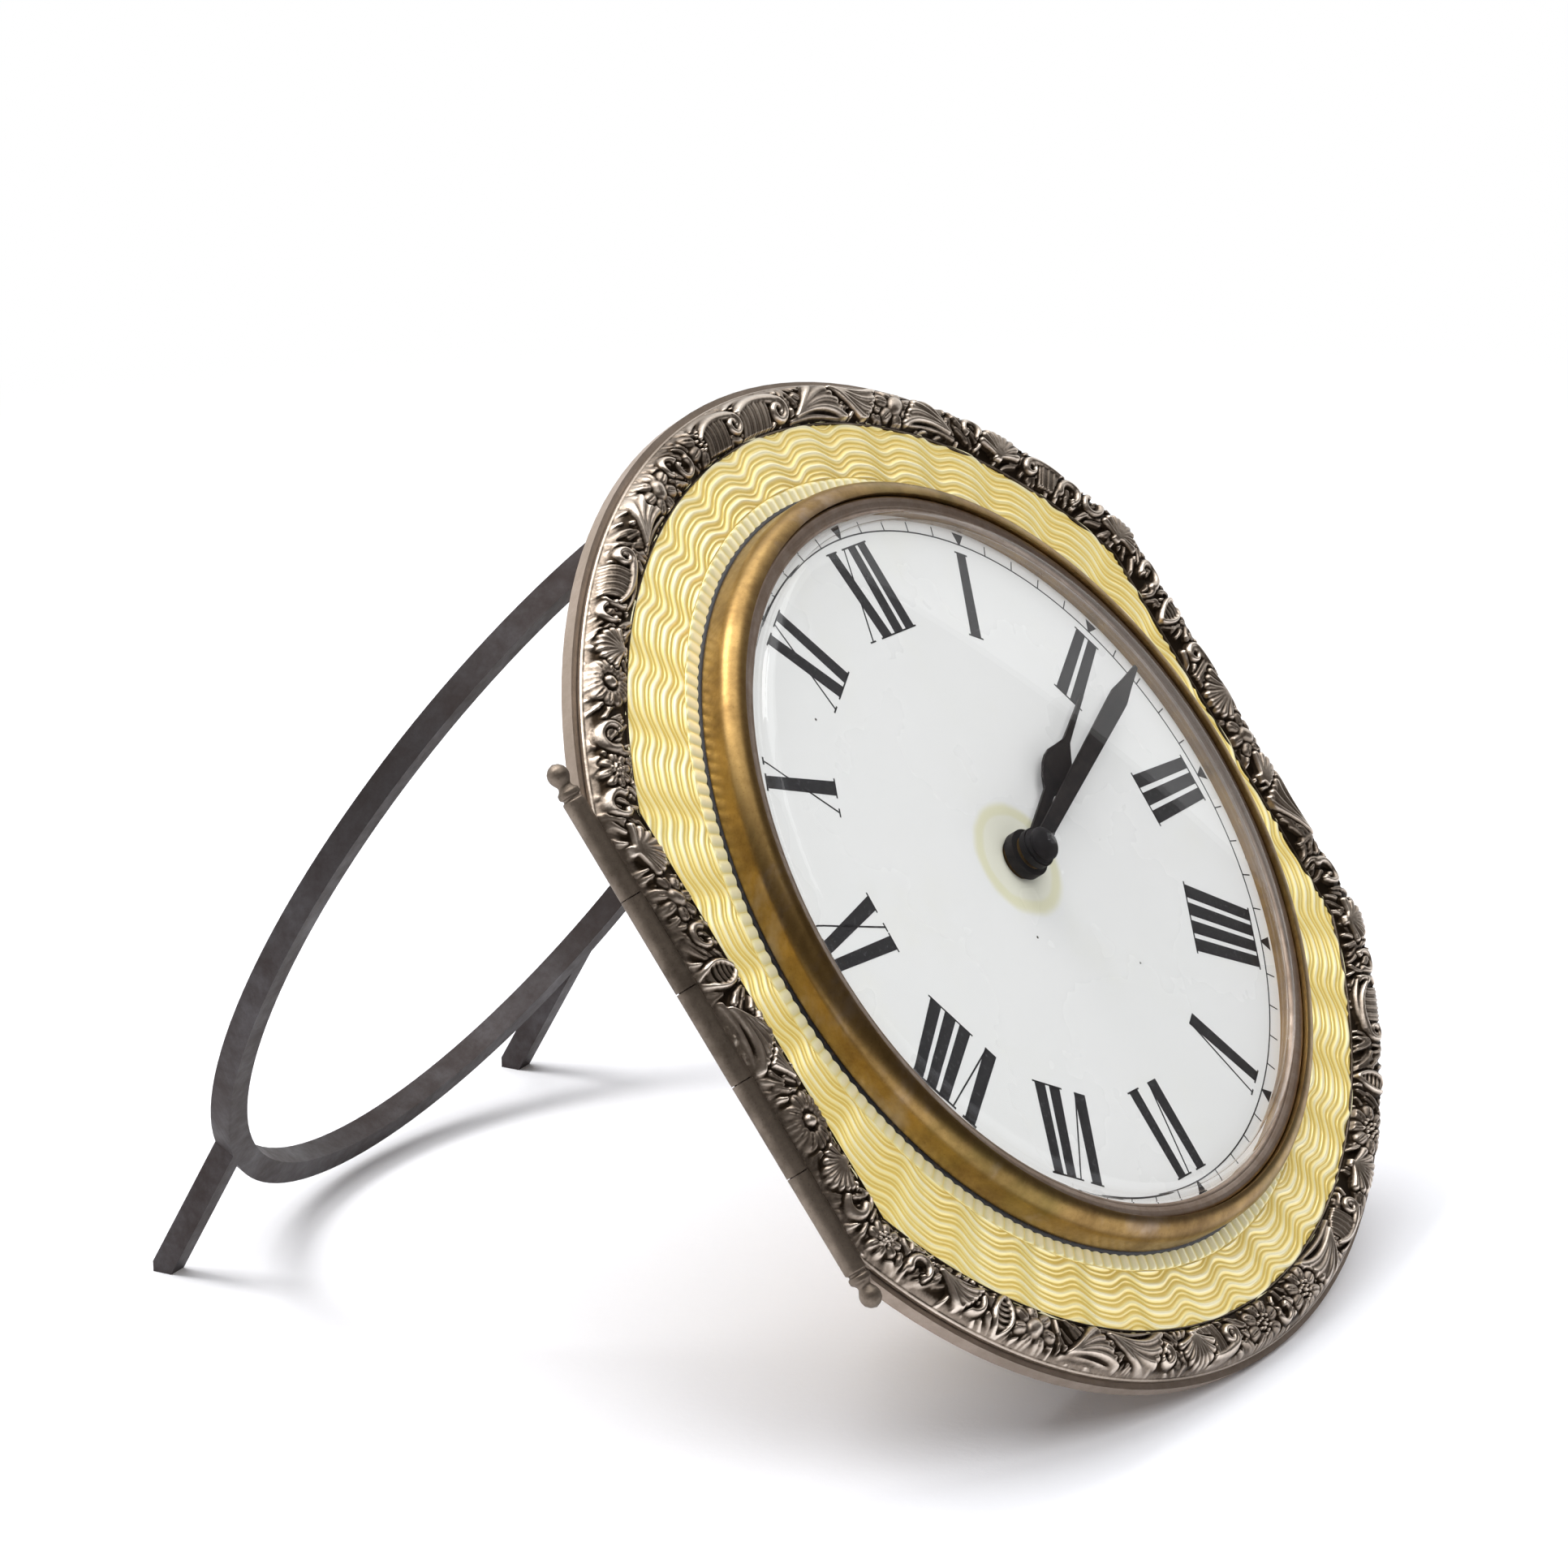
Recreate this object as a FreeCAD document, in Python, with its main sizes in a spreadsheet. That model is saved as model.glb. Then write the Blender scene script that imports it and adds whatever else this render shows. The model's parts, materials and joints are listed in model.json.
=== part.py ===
import FreeCAD, Part
import Sketcher
import math
import os

# Driving sizes, in millimetres and degrees. The dial centre on its printed face is the zero of the clock's
# own frame: x runs to the three o'clock side, y up the case, z out of the dial.
SIZES = {
    # case outline: two arcs and two straight sides
    "rear_arc": 56.2,
    "rear_half_width": 48.5,
    "arc_offset": 6.6,
    "border_step": 0.5,
    "crown_inset": 0.4,
    "enamel_arc": 50.1,
    "enamel_half_width": 43.1,
    "enamel_offset": 5.5,
    "rebate": 1.0,
    "rebate_gap": 0.08,
    # case heights
    "rear_back": -4.2,
    "seam": -2.95,
    "seam_gap": 0.05,
    "lip_top": -2.3,
    "crown_top": -0.9,
    "crown_round": 1.0,
    "crown_bevel": 0.65,
    "enamel_top": -1.7,
    "enamel_back": -2.7,
    "panel_gap": 0.02,
    "base_flat": 0.2,
    "lean": 35.2,
    "hole_radius": 36.4,
    "panel_hole": 35.9,
    # bezel, glass and dial
    "bezel_foot": 37.6,
    "bezel_crest": 2.2,
    "bezel_bore": 35.0,
    "bezel_collar": 35.8,
    "collar_end": -3.5,
    "ring_seat": 35.75,
    "ring_floor": 1.2,
    "ring_top": 1.95,
    "ring_bore": 33.6,
    "ring_round": 0.3,
    "fit_gap": 0.05,
    "glass_radius": 34.85,
    "glass_wall": 33.45,
    "glass_shoulder": 31.6,
    "glass_shoulder_top": 3.35,
    "glass_crown": 4.8,
    "glass_thick": 0.7,
    "rehaut_bore": 34.45,
    "dial_radius": 34.9,
    "dial_thick": 0.8,
    "dial_hole": 2.0,
    "foot_radius": 0.6,
    "foot_circle": 24.0,
    "dial_turn": 3.56,
    # movement case
    "drum_radius": 34.9,
    "drum_bore": 33.9,
    "drum_ledge": 32.7,
    "drum_end": -12.5,
    "cover_inner": -12.65,
    "cover_end": -13.3,
    "cover_round": 0.5,
    "cover_lip": 1.0,
    "front_plate_top": -3.0,
    "front_plate_back": -4.2,
    "back_plate_front": -10.6,
    "back_plate_back": -11.6,
    "front_plate_radius": 33.8,
    "back_plate_radius": 31.5,
    "pillar_circle": 28.5,
    "pillar_radius": 1.6,
    "pillar_turn": 15.0,
    "screw_head": 1.4,
    "screw_head_thick": 0.55,
    "screw_shank": 0.75,
    "screw_depth": 2.5,
    "screw_slot": 0.3,
    # arbors and their places
    "running_gap": 0.05,
    "centre_arbor": 0.7,
    "arbor": 0.55,
    "pivot": 0.32,
    "pivot_depth": 0.8,
    "barrel_arbor": 1.0,
    "barrel_turn": 150.0,
    "third_turn": -20.0,
    "fourth_turn": 80.0,
    "escape_turn": 110.0,
    "lever_turn": 90.0,
    "motion_turn": -90.0,
    # tooth modules
    "barrel_module": 0.45,
    "centre_module": 0.35,
    "third_module": 0.3,
    "fourth_module": 0.22,
    "cannon_module": 0.25,
    "hour_module": 0.24,
    # wheel heights
    "barrel_tooth_low": -9.75,
    "barrel_tooth_high": -9.05,
    "barrel_shell": 11.2,
    "barrel_wall": 0.7,
    "barrel_top": -5.7,
    "barrel_cover_thick": 0.45,
    "spring_core": 3.0,
    "spring_gap": 0.3,
    "centre_leaf_low": -10.05,
    "centre_leaf_high": -8.7,
    "centre_wheel_low": -5.3,
    "centre_wheel_high": -4.75,
    "third_leaf_low": -5.65,
    "third_leaf_high": -4.45,
    "third_wheel_low": -9.4,
    "third_wheel_high": -8.95,
    "fourth_leaf_low": -9.7,
    "fourth_leaf_high": -8.65,
    "fourth_wheel_low": -6.6,
    "fourth_wheel_high": -6.25,
    "escape_leaf_low": -6.95,
    "escape_leaf_high": -5.9,
    "escape_wheel_low": -9.6,
    "escape_wheel_high": -9.35,
    "escape_radius": 3.6,
    "escape_rim": 2.6,
    "lever_gap": 0.12,
    "lever_length": 2.3,
    "lever_width": 0.7,
    "lever_arbor_top": -8.6,
    "balance_distance": 4.3,
    "balance_radius": 6.5,
    "balance_rim": 5.5,
    "balance_low": -7.8,
    "balance_high": -7.2,
    "balance_arm": 0.8,
    "roller_radius": 1.3,
    "roller_low": -9.0,
    "roller_high": -8.7,
    "hairspring_low": -10.25,
    "hairspring_high": -10.0,
    "hairspring_outer": 2.4,
    "hairspring_inner": 0.9,
    # motion work
    "cannon_leaf_low": -2.85,
    "cannon_leaf_high": -2.15,
    "cannon_pipe": 1.15,
    "cannon_top": 2.6,
    "minute_wheel_low": -2.7,
    "minute_wheel_high": -2.3,
    "minute_leaf_high": -1.05,
    "stud_radius": 0.5,
    "stud_top": -1.0,
    "hour_wheel_low": -1.7,
    "hour_wheel_high": -1.2,
    "hour_pipe": 1.65,
    "hour_top": 1.45,
    # hands
    "hour_hand_low": 1.15,
    "hour_hand_high": 1.45,
    "hour_hub": 2.3,
    "hour_hub_low": 0.5,
    "hour_tip": 23.0,
    "hour_bulb": 12.4,
    "hour_bulb_half": 1.75,
    "hour_neck_half": 0.6,
    "hour_spike_half": 0.32,
    "hour_angle": 61.2,
    "minute_hand_low": 2.35,
    "minute_hand_high": 2.6,
    "minute_hub": 1.9,
    "minute_hub_low": 1.95,
    "minute_tip": 31.0,
    "minute_shoulder": 25.7,
    "minute_half": 1.02,
    "minute_root_half": 0.72,
    "minute_tip_half": 0.22,
    "minute_angle": 68.4,
    "cap_radius": 1.6,
    "cap_top": 3.6,
    "cap_round": 0.5,
    "arbor_top": 3.2,
    # winding and setting, behind the drum
    "ratchet_radius": 5.0,
    "ratchet_root": 4.3,
    "ratchet_low": -12.2,
    "ratchet_high": -11.7,
    "key_low": -20.5,
    "key_high": -13.6,
    "key_hub": 1.9,
    "key_hub_end": -16.4,
    "key_half_width": 5.6,
    "key_thick": 1.2,
    "key_round": 1.6,
    "set_knob_radius": 4.0,
    "set_knob_high": -13.6,
    "set_knob_low": -16.2,
    "set_knob_round": 0.4,
    "click_length": 4.6,
    "click_width": 1.1,
    "click_stud": 0.45,
    "click_gap": 0.12,
    "click_spring_thick": 0.25,
    "click_spring_length": 6.0,
    "regulator_ring": 1.9,
    "regulator_hub": 0.9,
    "regulator_tail": 6.0,
    "regulator_width": 0.8,
    "regulator_low": -12.1,
    "regulator_high": -11.75,
    "regulator_pin": 0.4,
    "regulator_pin_end": -14.2,
    "regulator_sweep": 20.0,
    # left hinge
    "hinge_side": 48.5,
    "hinge_height": -3.0,
    "hinge_radius": 1.0,
    "hinge_bore": 0.53,
    "hinge_pin": 0.5,
    "hinge_top": 23.3,
    "hinge_bottom": -22.1,
    "knuckle_gap": 0.1,
    "hinge_clear": 0.25,
    "finial_collar": 1.1,
    "finial_neck": 0.6,
    "finial_ring": 1.0,
    "finial_groove": 0.35,
    "finial_length": 4.1,
    "finial_bore": 1.2,
    "finial_ball": 0.75,
    # strut and its hinge
    "strut_open": 65.6,
    "strut_hinge_y": 44.5,
    "strut_hinge_z": -5.4,
    "hoop_outer": 42.8,
    "hoop_inner": 40.3,
    "hoop_depth": 2.25,
    "leg_outer": 31.2,
    "leg_width": 2.05,
    "leg_top": 27.6,
    "leg_reach": 60.0,
    "foot_chamfer": 1.2,
    "strut_bore": 0.55,
    "strut_pin": 0.5,
    "strut_knuckle": 1.0,
    "strut_knuckle_half": 4.0,
    "strut_gap": 0.2,
    "bracket_length": 5.0,
    "bracket_relief": 1.55,
    "bracket_foot_half": 1.1,
    "bracket_flange": 2.4,
    "bracket_flange_thick": 0.5,
    "rivet_radius": 0.55,
    "rivet_head": 0.9,
    "rivet_head_thick": 0.35,
    # one overrun for every cut
    "overrun": 1.0,
}

# Counts and tooth numbers
BARREL_TEETH = 56
CENTRE_LEAVES = 12
CENTRE_TEETH = 64
THIRD_LEAVES = 8
THIRD_TEETH = 60
FOURTH_LEAVES = 8
FOURTH_TEETH = 60
ESCAPE_LEAVES = 6
ESCAPE_TEETH = 15
CANNON_LEAVES = 12
MINUTE_TEETH = 36
MINUTE_LEAVES = 10
HOUR_TEETH = 40
RATCHET_TEETH = 24
KNUCKLES = 5
PILLARS = 4
DIAL_FEET = 3
WHEEL_ARMS = 5
FULL_TURN = 360
RIGHT_ANGLE = 90

# Tooth shape, in shares of the module and of the tooth pitch
ADDENDUM_SHARE = 0.8
DEDENDUM_SHARE = 1.15
TIP_SHARE = 0.14
PITCH_SHARE = 0.38
ROOT_SHARE = 0.46
LEAF_ROOT_SHARE = 0.34

document = FreeCAD.newDocument("pendulette")
sheet = document.addObject("Spreadsheet::Sheet", "sizes")
for row, (alias, value) in enumerate(SIZES.items(), start=1):
    sheet.set("A%d" % row, alias)
    sheet.set("B%d" % row, str(value))
    sheet.setAlias("B%d" % row, alias)
document.recompute()

# Every finished sub-part, by the name of its node
finished = {}


def size(alias):
    """A driving size, read back from the sheet."""
    return float(sheet.get(alias))


def worked_out(expression):
    """The present value of an expression in sheet names."""
    return float(sheet.evalExpression(expression))


def bound(expression):
    """The same expression, written for an object outside the sheet."""
    words = []
    word = ""
    for letter in expression + " ":
        if letter.isalnum() or letter == "_":
            word += letter
            continue
        words.append("sizes." + word if word in SIZES else word)
        words.append(letter)
        word = ""
    return "".join(words).strip()


# Frames of the clock

def lean_placement():
    """The case leaning back, its lowest edge cut flat on the table."""
    lean = math.radians(size("lean"))
    half_height = size("rear_arc") - size("arc_offset")
    drop = half_height * math.cos(lean) - size("rear_back") * math.sin(lean) - size("base_flat")
    turn = FreeCAD.Rotation(FreeCAD.Vector(1, 0, 0), RIGHT_ANGLE - size("lean"))
    return FreeCAD.Placement(FreeCAD.Vector(0, 0, drop), turn)


CASE = lean_placement()
DIAL = CASE.multiply(FreeCAD.Placement(
    FreeCAD.Vector(), FreeCAD.Rotation(FreeCAD.Vector(0, 0, 1), -size("dial_turn"))))
HINGE = CASE.multiply(FreeCAD.Placement(
    FreeCAD.Vector(-size("hinge_side"), 0, size("hinge_height")),
    FreeCAD.Rotation(FreeCAD.Vector(1, 0, 0), -RIGHT_ANGLE)))
STRUT = CASE.multiply(FreeCAD.Placement(
    FreeCAD.Vector(0, size("strut_hinge_y"), size("strut_hinge_z")),
    FreeCAD.Rotation(FreeCAD.Vector(1, 0, 0), size("strut_open"))))
STRUT_AXIS = CASE.multiply(FreeCAD.Placement(
    FreeCAD.Vector(0, size("strut_hinge_y"), size("strut_hinge_z")),
    FreeCAD.Rotation(FreeCAD.Vector(0, 1, 0), RIGHT_ANGLE)))


def at(frame, x, y):
    """A frame moved across its own face."""
    return frame.multiply(FreeCAD.Placement(FreeCAD.Vector(x, y, 0), FreeCAD.Rotation()))


def turned_by(frame, degrees):
    """A frame turned about its own z axis."""
    return frame.multiply(FreeCAD.Placement(
        FreeCAD.Vector(), FreeCAD.Rotation(FreeCAD.Vector(0, 0, 1), degrees)))


def finish(thing, label, frame):
    """Name a sub-part and set it in its frame."""
    thing.Label = label
    thing.Placement = frame
    finished[label] = thing
    return thing


# Bound primitives

def cylinder(name, radius, low, high, x=0, y=0):
    """An upright cylinder between two heights."""
    solid = document.addObject("Part::Cylinder", name)
    solid.setExpression("Radius", bound(radius))
    solid.setExpression("Height", bound("(%s) - (%s)" % (high, low)))
    solid.Placement.Base = FreeCAD.Vector(x, y, 0)
    solid.setExpression("Placement.Base.z", bound(low))
    return solid


def block(name, corner, lengths, x=0, y=0):
    """A box from its low corner and its three lengths, all bound, set off by x and y."""
    solid = document.addObject("Part::Box", name)
    sides = ("Length", "Width", "Height")
    for axis, start, length, side, move in zip("xyz", corner, lengths, sides, (x, y, 0)):
        solid.setExpression(side, bound(length))
        solid.setExpression("Placement.Base." + axis, "%s + (%r)" % (bound(start), move))
    return solid


def cut(name, base, tools):
    """A base less one or more tools."""
    result = document.addObject("Part::Cut", name)
    result.Base = base
    result.Tool = tools[0] if len(tools) == 1 else joined(name + "_tools", tools)
    return result


def joined(name, shapes):
    result = document.addObject("Part::MultiFuse", name)
    result.Shapes = shapes
    return result


def group(name, pieces):
    """Separate pieces kept side by side in one node."""
    result = document.addObject("Part::Compound", name)
    result.Links = pieces
    return result


def barrel(name, arc, offset, half_width, low, high):
    """The case outline as a slab: what two offset cylinders and a box have in common."""
    upper = cylinder(name + "_upper", arc, low, high)
    upper.setExpression("Placement.Base.y", bound("-(%s)" % offset))
    lower = cylinder(name + "_lower", arc, low, high)
    lower.setExpression("Placement.Base.y", bound(offset))
    sides = block(
        name + "_sides",
        ("-(%s)" % half_width, "-(%s)" % arc, low),
        ("2 * (%s)" % half_width, "2 * (%s)" % arc, "(%s) - (%s)" % (high, low)))
    common = document.addObject("Part::MultiCommon", name)
    common.Shapes = [upper, lower, sides]
    return common


# Bound sketches

def new_body(label):
    return document.addObject("PartDesign::Body", label + "_body")


def arc_between(start, end, radius, bulge):
    """The short arc between two points; a positive bulge lies left of the way from start to end."""
    across = end - start
    middle = (start + end) * 0.5
    left = FreeCAD.Vector(-across.y, across.x, 0).normalize()
    rise = math.sqrt(max(radius ** 2 - (across.Length / 2) ** 2, 0))
    side = 1 if bulge > 0 else -1
    centre = middle - left * (rise * side)
    first = math.atan2(start.y - centre.y, start.x - centre.x)
    last = math.atan2(end.y - centre.y, end.x - centre.x)
    circle = Part.Circle(centre, FreeCAD.Vector(0, 0, 1), radius)
    if side > 0:
        return Part.ArcOfCircle(circle, last, first), 2, 1
    return Part.ArcOfCircle(circle, first, last), 1, 2


def outline(body, name, role, corners):
    """A closed outline on an origin plane. A corner is (across, along), or (across, along, radius, side)
    where the line that leaves it is an arc."""
    sketch = body.newObject("Sketcher::SketchObject", name)
    plane = next(item for item in body.Origin.OriginFeatures if item.Role == role)
    sketch.AttachmentSupport = (plane, [""])
    sketch.MapMode = "FlatFace"
    places = [FreeCAD.Vector(worked_out(corner[0]), worked_out(corner[1]), 0) for corner in corners]
    ends = []
    for index, corner in enumerate(corners):
        start = places[index]
        end = places[(index + 1) % len(corners)]
        if len(corner) == 2:
            sketch.addGeometry(Part.LineSegment(start, end), False)
            ends.append((1, 2))
            continue
        arc, first, last = arc_between(start, end, worked_out(corner[2]), corner[3])
        sketch.addGeometry(arc, False)
        ends.append((first, last))
    for index in range(len(corners)):
        after = (index + 1) % len(corners)
        sketch.addConstraint(Sketcher.Constraint("Coincident", index, ends[index][1], after, ends[after][0]))
    for index, corner in enumerate(corners):
        for kind, axis, text, place in (
                ("DistanceX", -2, corner[0], places[index].x), ("DistanceY", -1, corner[1], places[index].y)):
            if text == "0":
                sketch.addConstraint(Sketcher.Constraint("PointOnObject", index, ends[index][0], axis))
                continue
            number = sketch.addConstraint(Sketcher.Constraint(kind, -1, 1, index, ends[index][0], place))
            title = "%s%d" % (kind[-1].lower(), index)
            sketch.renameConstraint(number, title)
            sketch.setExpression("Constraints." + title, bound(text))
        if len(corner) > 2:
            number = sketch.addConstraint(Sketcher.Constraint("Radius", index, worked_out(corner[2])))
            title = "arc%d" % index
            sketch.renameConstraint(number, title)
            sketch.setExpression("Constraints." + title, bound(corner[2]))
    return sketch


def turned(label, corners):
    """A body turned about its z axis from a bound profile of radii and heights."""
    body = new_body(label)
    profile = outline(body, label + "_profile", "XZ_Plane", corners)
    turn = body.newObject("PartDesign::Revolution", label + "_turning")
    turn.Profile = profile
    turn.ReferenceAxis = (profile, ["V_Axis"])
    turn.Angle = FULL_TURN
    document.recompute()
    return body


def padded(label, corners, low, high):
    """A flat body between two heights from a bound outline."""
    body = new_body(label)
    profile = outline(body, label + "_outline", "XY_Plane", corners)
    profile.setExpression("AttachmentOffset.Base.z", bound(low))
    pad = body.newObject("PartDesign::Pad", label + "_pad")
    pad.Profile = profile
    pad.setExpression("Length", bound("(%s) - (%s)" % (high, low)))
    document.recompute()
    return body


def near(value, target):
    """Whether two lengths agree to a thousandth of the case's half width."""
    return abs(value - target) < size("rear_half_width") / 1000


def rounded_rims(body, label, radius, rims):
    """Round the circular edges of a turned body that lie at the given (radius, height) pairs."""
    sharp = body.Tip
    names = []
    for number, edge in enumerate(sharp.Shape.Edges, start=1):
        if not isinstance(edge.Curve, Part.Circle):
            continue
        for rim, height in rims:
            if near(edge.Curve.Radius, worked_out(rim)) and near(edge.Curve.Center.z, worked_out(height)):
                names.append("Edge%d" % number)
    fillet = body.newObject("PartDesign::Fillet", label + "_rounding")
    fillet.Base = (sharp, sorted(set(names)))
    fillet.setExpression("Radius", bound(radius))
    document.recompute()
    return body


# Case: rear frame, border and enamel panel

def hinge_channel(name, side):
    """Room for the hinge tubes in one layer of the case: side 0 is the rear frame, side 1 the border."""
    tools = []
    for number in range(KNUCKLES):
        low, high = knuckle_span(number)
        own = number % 2 == side
        radius = "hinge_radius" if own else "hinge_radius + hinge_clear"
        low_text = "(%s) - knuckle_gap" % low
        tools.append(upright_bore("%s_%d" % (name, number), radius, low_text, "(%s) + knuckle_gap" % high))
    clear = "finial_collar + hinge_clear"
    reach = "finial_length + finial_ball"
    tools.append(upright_bore(name + "_above", clear, "hinge_top", "hinge_top + %s" % reach))
    tools.append(upright_bore(name + "_below", clear, "hinge_bottom - %s" % reach, "hinge_bottom"))
    return tools


def upright_bore(name, radius, low, high):
    """A cylinder round the hinge axis, up the side of the case."""
    solid = document.addObject("Part::Cylinder", name)
    solid.setExpression("Radius", bound(radius))
    solid.setExpression("Height", bound("(%s) - (%s)" % (high, low)))
    solid.Placement = FreeCAD.Placement(
        FreeCAD.Vector(), FreeCAD.Rotation(FreeCAD.Vector(1, 0, 0), -RIGHT_ANGLE))
    solid.setExpression("Placement.Base.x", bound("-hinge_side"))
    solid.setExpression("Placement.Base.y", bound(low))
    solid.setExpression("Placement.Base.z", bound("hinge_height"))
    return solid


def knuckle_span(number):
    """Where one hinge tube starts and ends along the pin."""
    step = "(hinge_top - hinge_bottom) / %d" % KNUCKLES
    low = "hinge_bottom + %d * %s + knuckle_gap / 2" % (number, step)
    high = "hinge_bottom + %d * %s - knuckle_gap / 2" % (number + 1, step)
    return low, high


def table_block(name, frame):
    """A block that fills everything under the table, seen from a sub-part's own frame."""
    reach = 4 * size("rear_arc")
    solid = document.addObject("Part::Box", name)
    solid.setExpression("Length", bound("8 * rear_arc"))
    solid.setExpression("Width", bound("8 * rear_arc"))
    solid.setExpression("Height", bound("4 * rear_arc"))
    start = FreeCAD.Placement(FreeCAD.Vector(-reach, -reach, -reach), FreeCAD.Rotation())
    solid.Placement = frame.inverse().multiply(start)
    return solid


def rear_frame():
    slab = barrel("rear_slab", "rear_arc", "arc_offset", "rear_half_width", "rear_back", "seam")
    hole = cylinder("rear_hole", "hole_radius", "rear_back - overrun", "seam + overrun")
    tools = [hole, table_block("rear_table", CASE)]
    tools += hinge_channel("rear_channel", 0)
    for number, (x, y) in enumerate(rivet_places()):
        tools.append(cylinder("rear_rivet_%d" % number, "rivet_radius",
                              "rear_back - overrun", "seam + overrun", x, y))
    finish(cut("rear_frame_cut", slab, tools), "rear_frame", CASE)


def border_frame():
    """The front frame: a lip on the seam, a rounded crown over it, and a rebate behind for the enamel."""
    lip = barrel("border_lip", "rear_arc - border_step", "arc_offset", "rear_half_width - border_step",
                 "seam + seam_gap", "lip_top + crown_inset")
    crown = barrel("border_crown", "rear_arc - border_step - crown_inset", "arc_offset",
                   "rear_half_width - border_step - crown_inset", "seam + seam_gap", "crown_top")
    crown_top = worked_out("crown_top")
    document.recompute()
    edges = []
    for number, edge in enumerate(crown.Shape.Edges, start=1):
        if near(edge.BoundBox.ZMin, crown_top) and near(edge.BoundBox.ZMax, crown_top):
            edges.append((number, size("crown_round"), size("crown_round")))
    rounded = document.addObject("Part::Fillet", "border_rounded")
    rounded.Base = crown
    rounded.Edges = edges
    window = barrel("border_window", "enamel_arc", "enamel_offset", "enamel_half_width",
                    "seam - overrun", "crown_top + overrun")
    rebate = barrel("border_rebate", "enamel_arc + rebate + rebate_gap", "enamel_offset",
                    "enamel_half_width + rebate + rebate_gap", "seam - overrun", "enamel_top + panel_gap")
    tools = [window, rebate] + hinge_channel("border_channel", 1)
    whole = joined("border_whole", [lip, rounded])
    opened = cut("border_opened", whole, tools)
    document.recompute()
    inner = []
    for number, edge in enumerate(opened.Shape.Edges, start=1):
        box = edge.BoundBox
        if not (near(box.ZMin, crown_top) and near(box.ZMax, crown_top)):
            continue
        if max(abs(box.XMin), abs(box.XMax)) > size("enamel_half_width") + size("rebate") / 2:
            continue
        if max(abs(box.YMin), abs(box.YMax)) > size("enamel_arc") - size("enamel_offset") + size("rebate") / 2:
            continue
        inner.append((number, size("crown_bevel"), size("crown_bevel")))
    bevelled = document.addObject("Part::Chamfer", "border_bevelled")
    bevelled.Base = opened
    bevelled.Edges = inner
    finish(bevelled, "border_frame", CASE)


def enamel_panel():
    slab = barrel("enamel_slab", "enamel_arc + rebate", "enamel_offset", "enamel_half_width + rebate",
                  "enamel_back", "enamel_top")
    hole = cylinder("enamel_hole", "panel_hole", "enamel_back - overrun", "enamel_top + overrun")
    finish(cut("enamel_panel_cut", slab, [hole]), "enamel_panel", CASE)


# Hinge

def hinge_tubes(label, side):
    """One layer's share of the hinge tubes, in one node of separate pieces."""
    tubes = []
    for number in range(side, KNUCKLES, 2):
        low, high = knuckle_span(number)
        outer = cylinder("%s_%d" % (label, number), "hinge_radius", low, high)
        bore = cylinder("%s_bore_%d" % (label, number), "hinge_bore", low, high)
        tubes.append(cut("%s_tube_%d" % (label, number), outer, [bore]))
    whole = group(label + "_group", tubes)
    finish(whole, label, HINGE)


def hinge_pin():
    bar = cylinder("hinge_pin_bar", "hinge_pin", "hinge_bottom - finial_bore", "hinge_top + finial_bore")
    finish(group("hinge_pin_group", [bar]), "hinge_pin", HINGE)


def finial(name, turn, end):
    """A collar, a groove, a ring, a neck and a ball, turned in one piece and pressed on the pin's end."""
    first = "%s + finial_groove" % end
    second = "%s + finial_ring" % first
    third = "%s + finial_groove" % second
    fourth = "%s + finial_groove" % third
    centre = "%s + finial_length - finial_ball" % end
    rise = "sqrt(finial_ball ^ 2 - finial_neck ^ 2 / 4)"
    body = turned(name, [
        ("hinge_pin", "%s + knuckle_gap" % end),
        ("finial_collar", "%s + knuckle_gap" % end),
        ("finial_collar", first),
        ("finial_neck + finial_groove / 2", first),
        ("finial_neck + finial_groove / 2", second),
        ("finial_collar", second),
        ("finial_collar", third),
        ("finial_neck / 2", fourth),
        ("finial_neck / 2", "%s - %s" % (centre, rise), "finial_ball", -1),
        ("0", "%s + finial_ball" % centre),
        ("0", "%s + finial_bore" % end),
        ("hinge_pin", "%s + finial_bore" % end),
    ])
    body.Placement = FreeCAD.Placement(FreeCAD.Vector(), FreeCAD.Rotation(FreeCAD.Vector(1, 0, 0), turn))
    return body


def hinge_finials():
    upper = finial("upper_finial", 0, "hinge_top")
    lower = finial("lower_finial", 2 * RIGHT_ANGLE, "-hinge_bottom")
    whole = group("hinge_finials_group", [upper, lower])
    finish(whole, "hinge_finials", HINGE)


# Strut and its hinge

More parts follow.
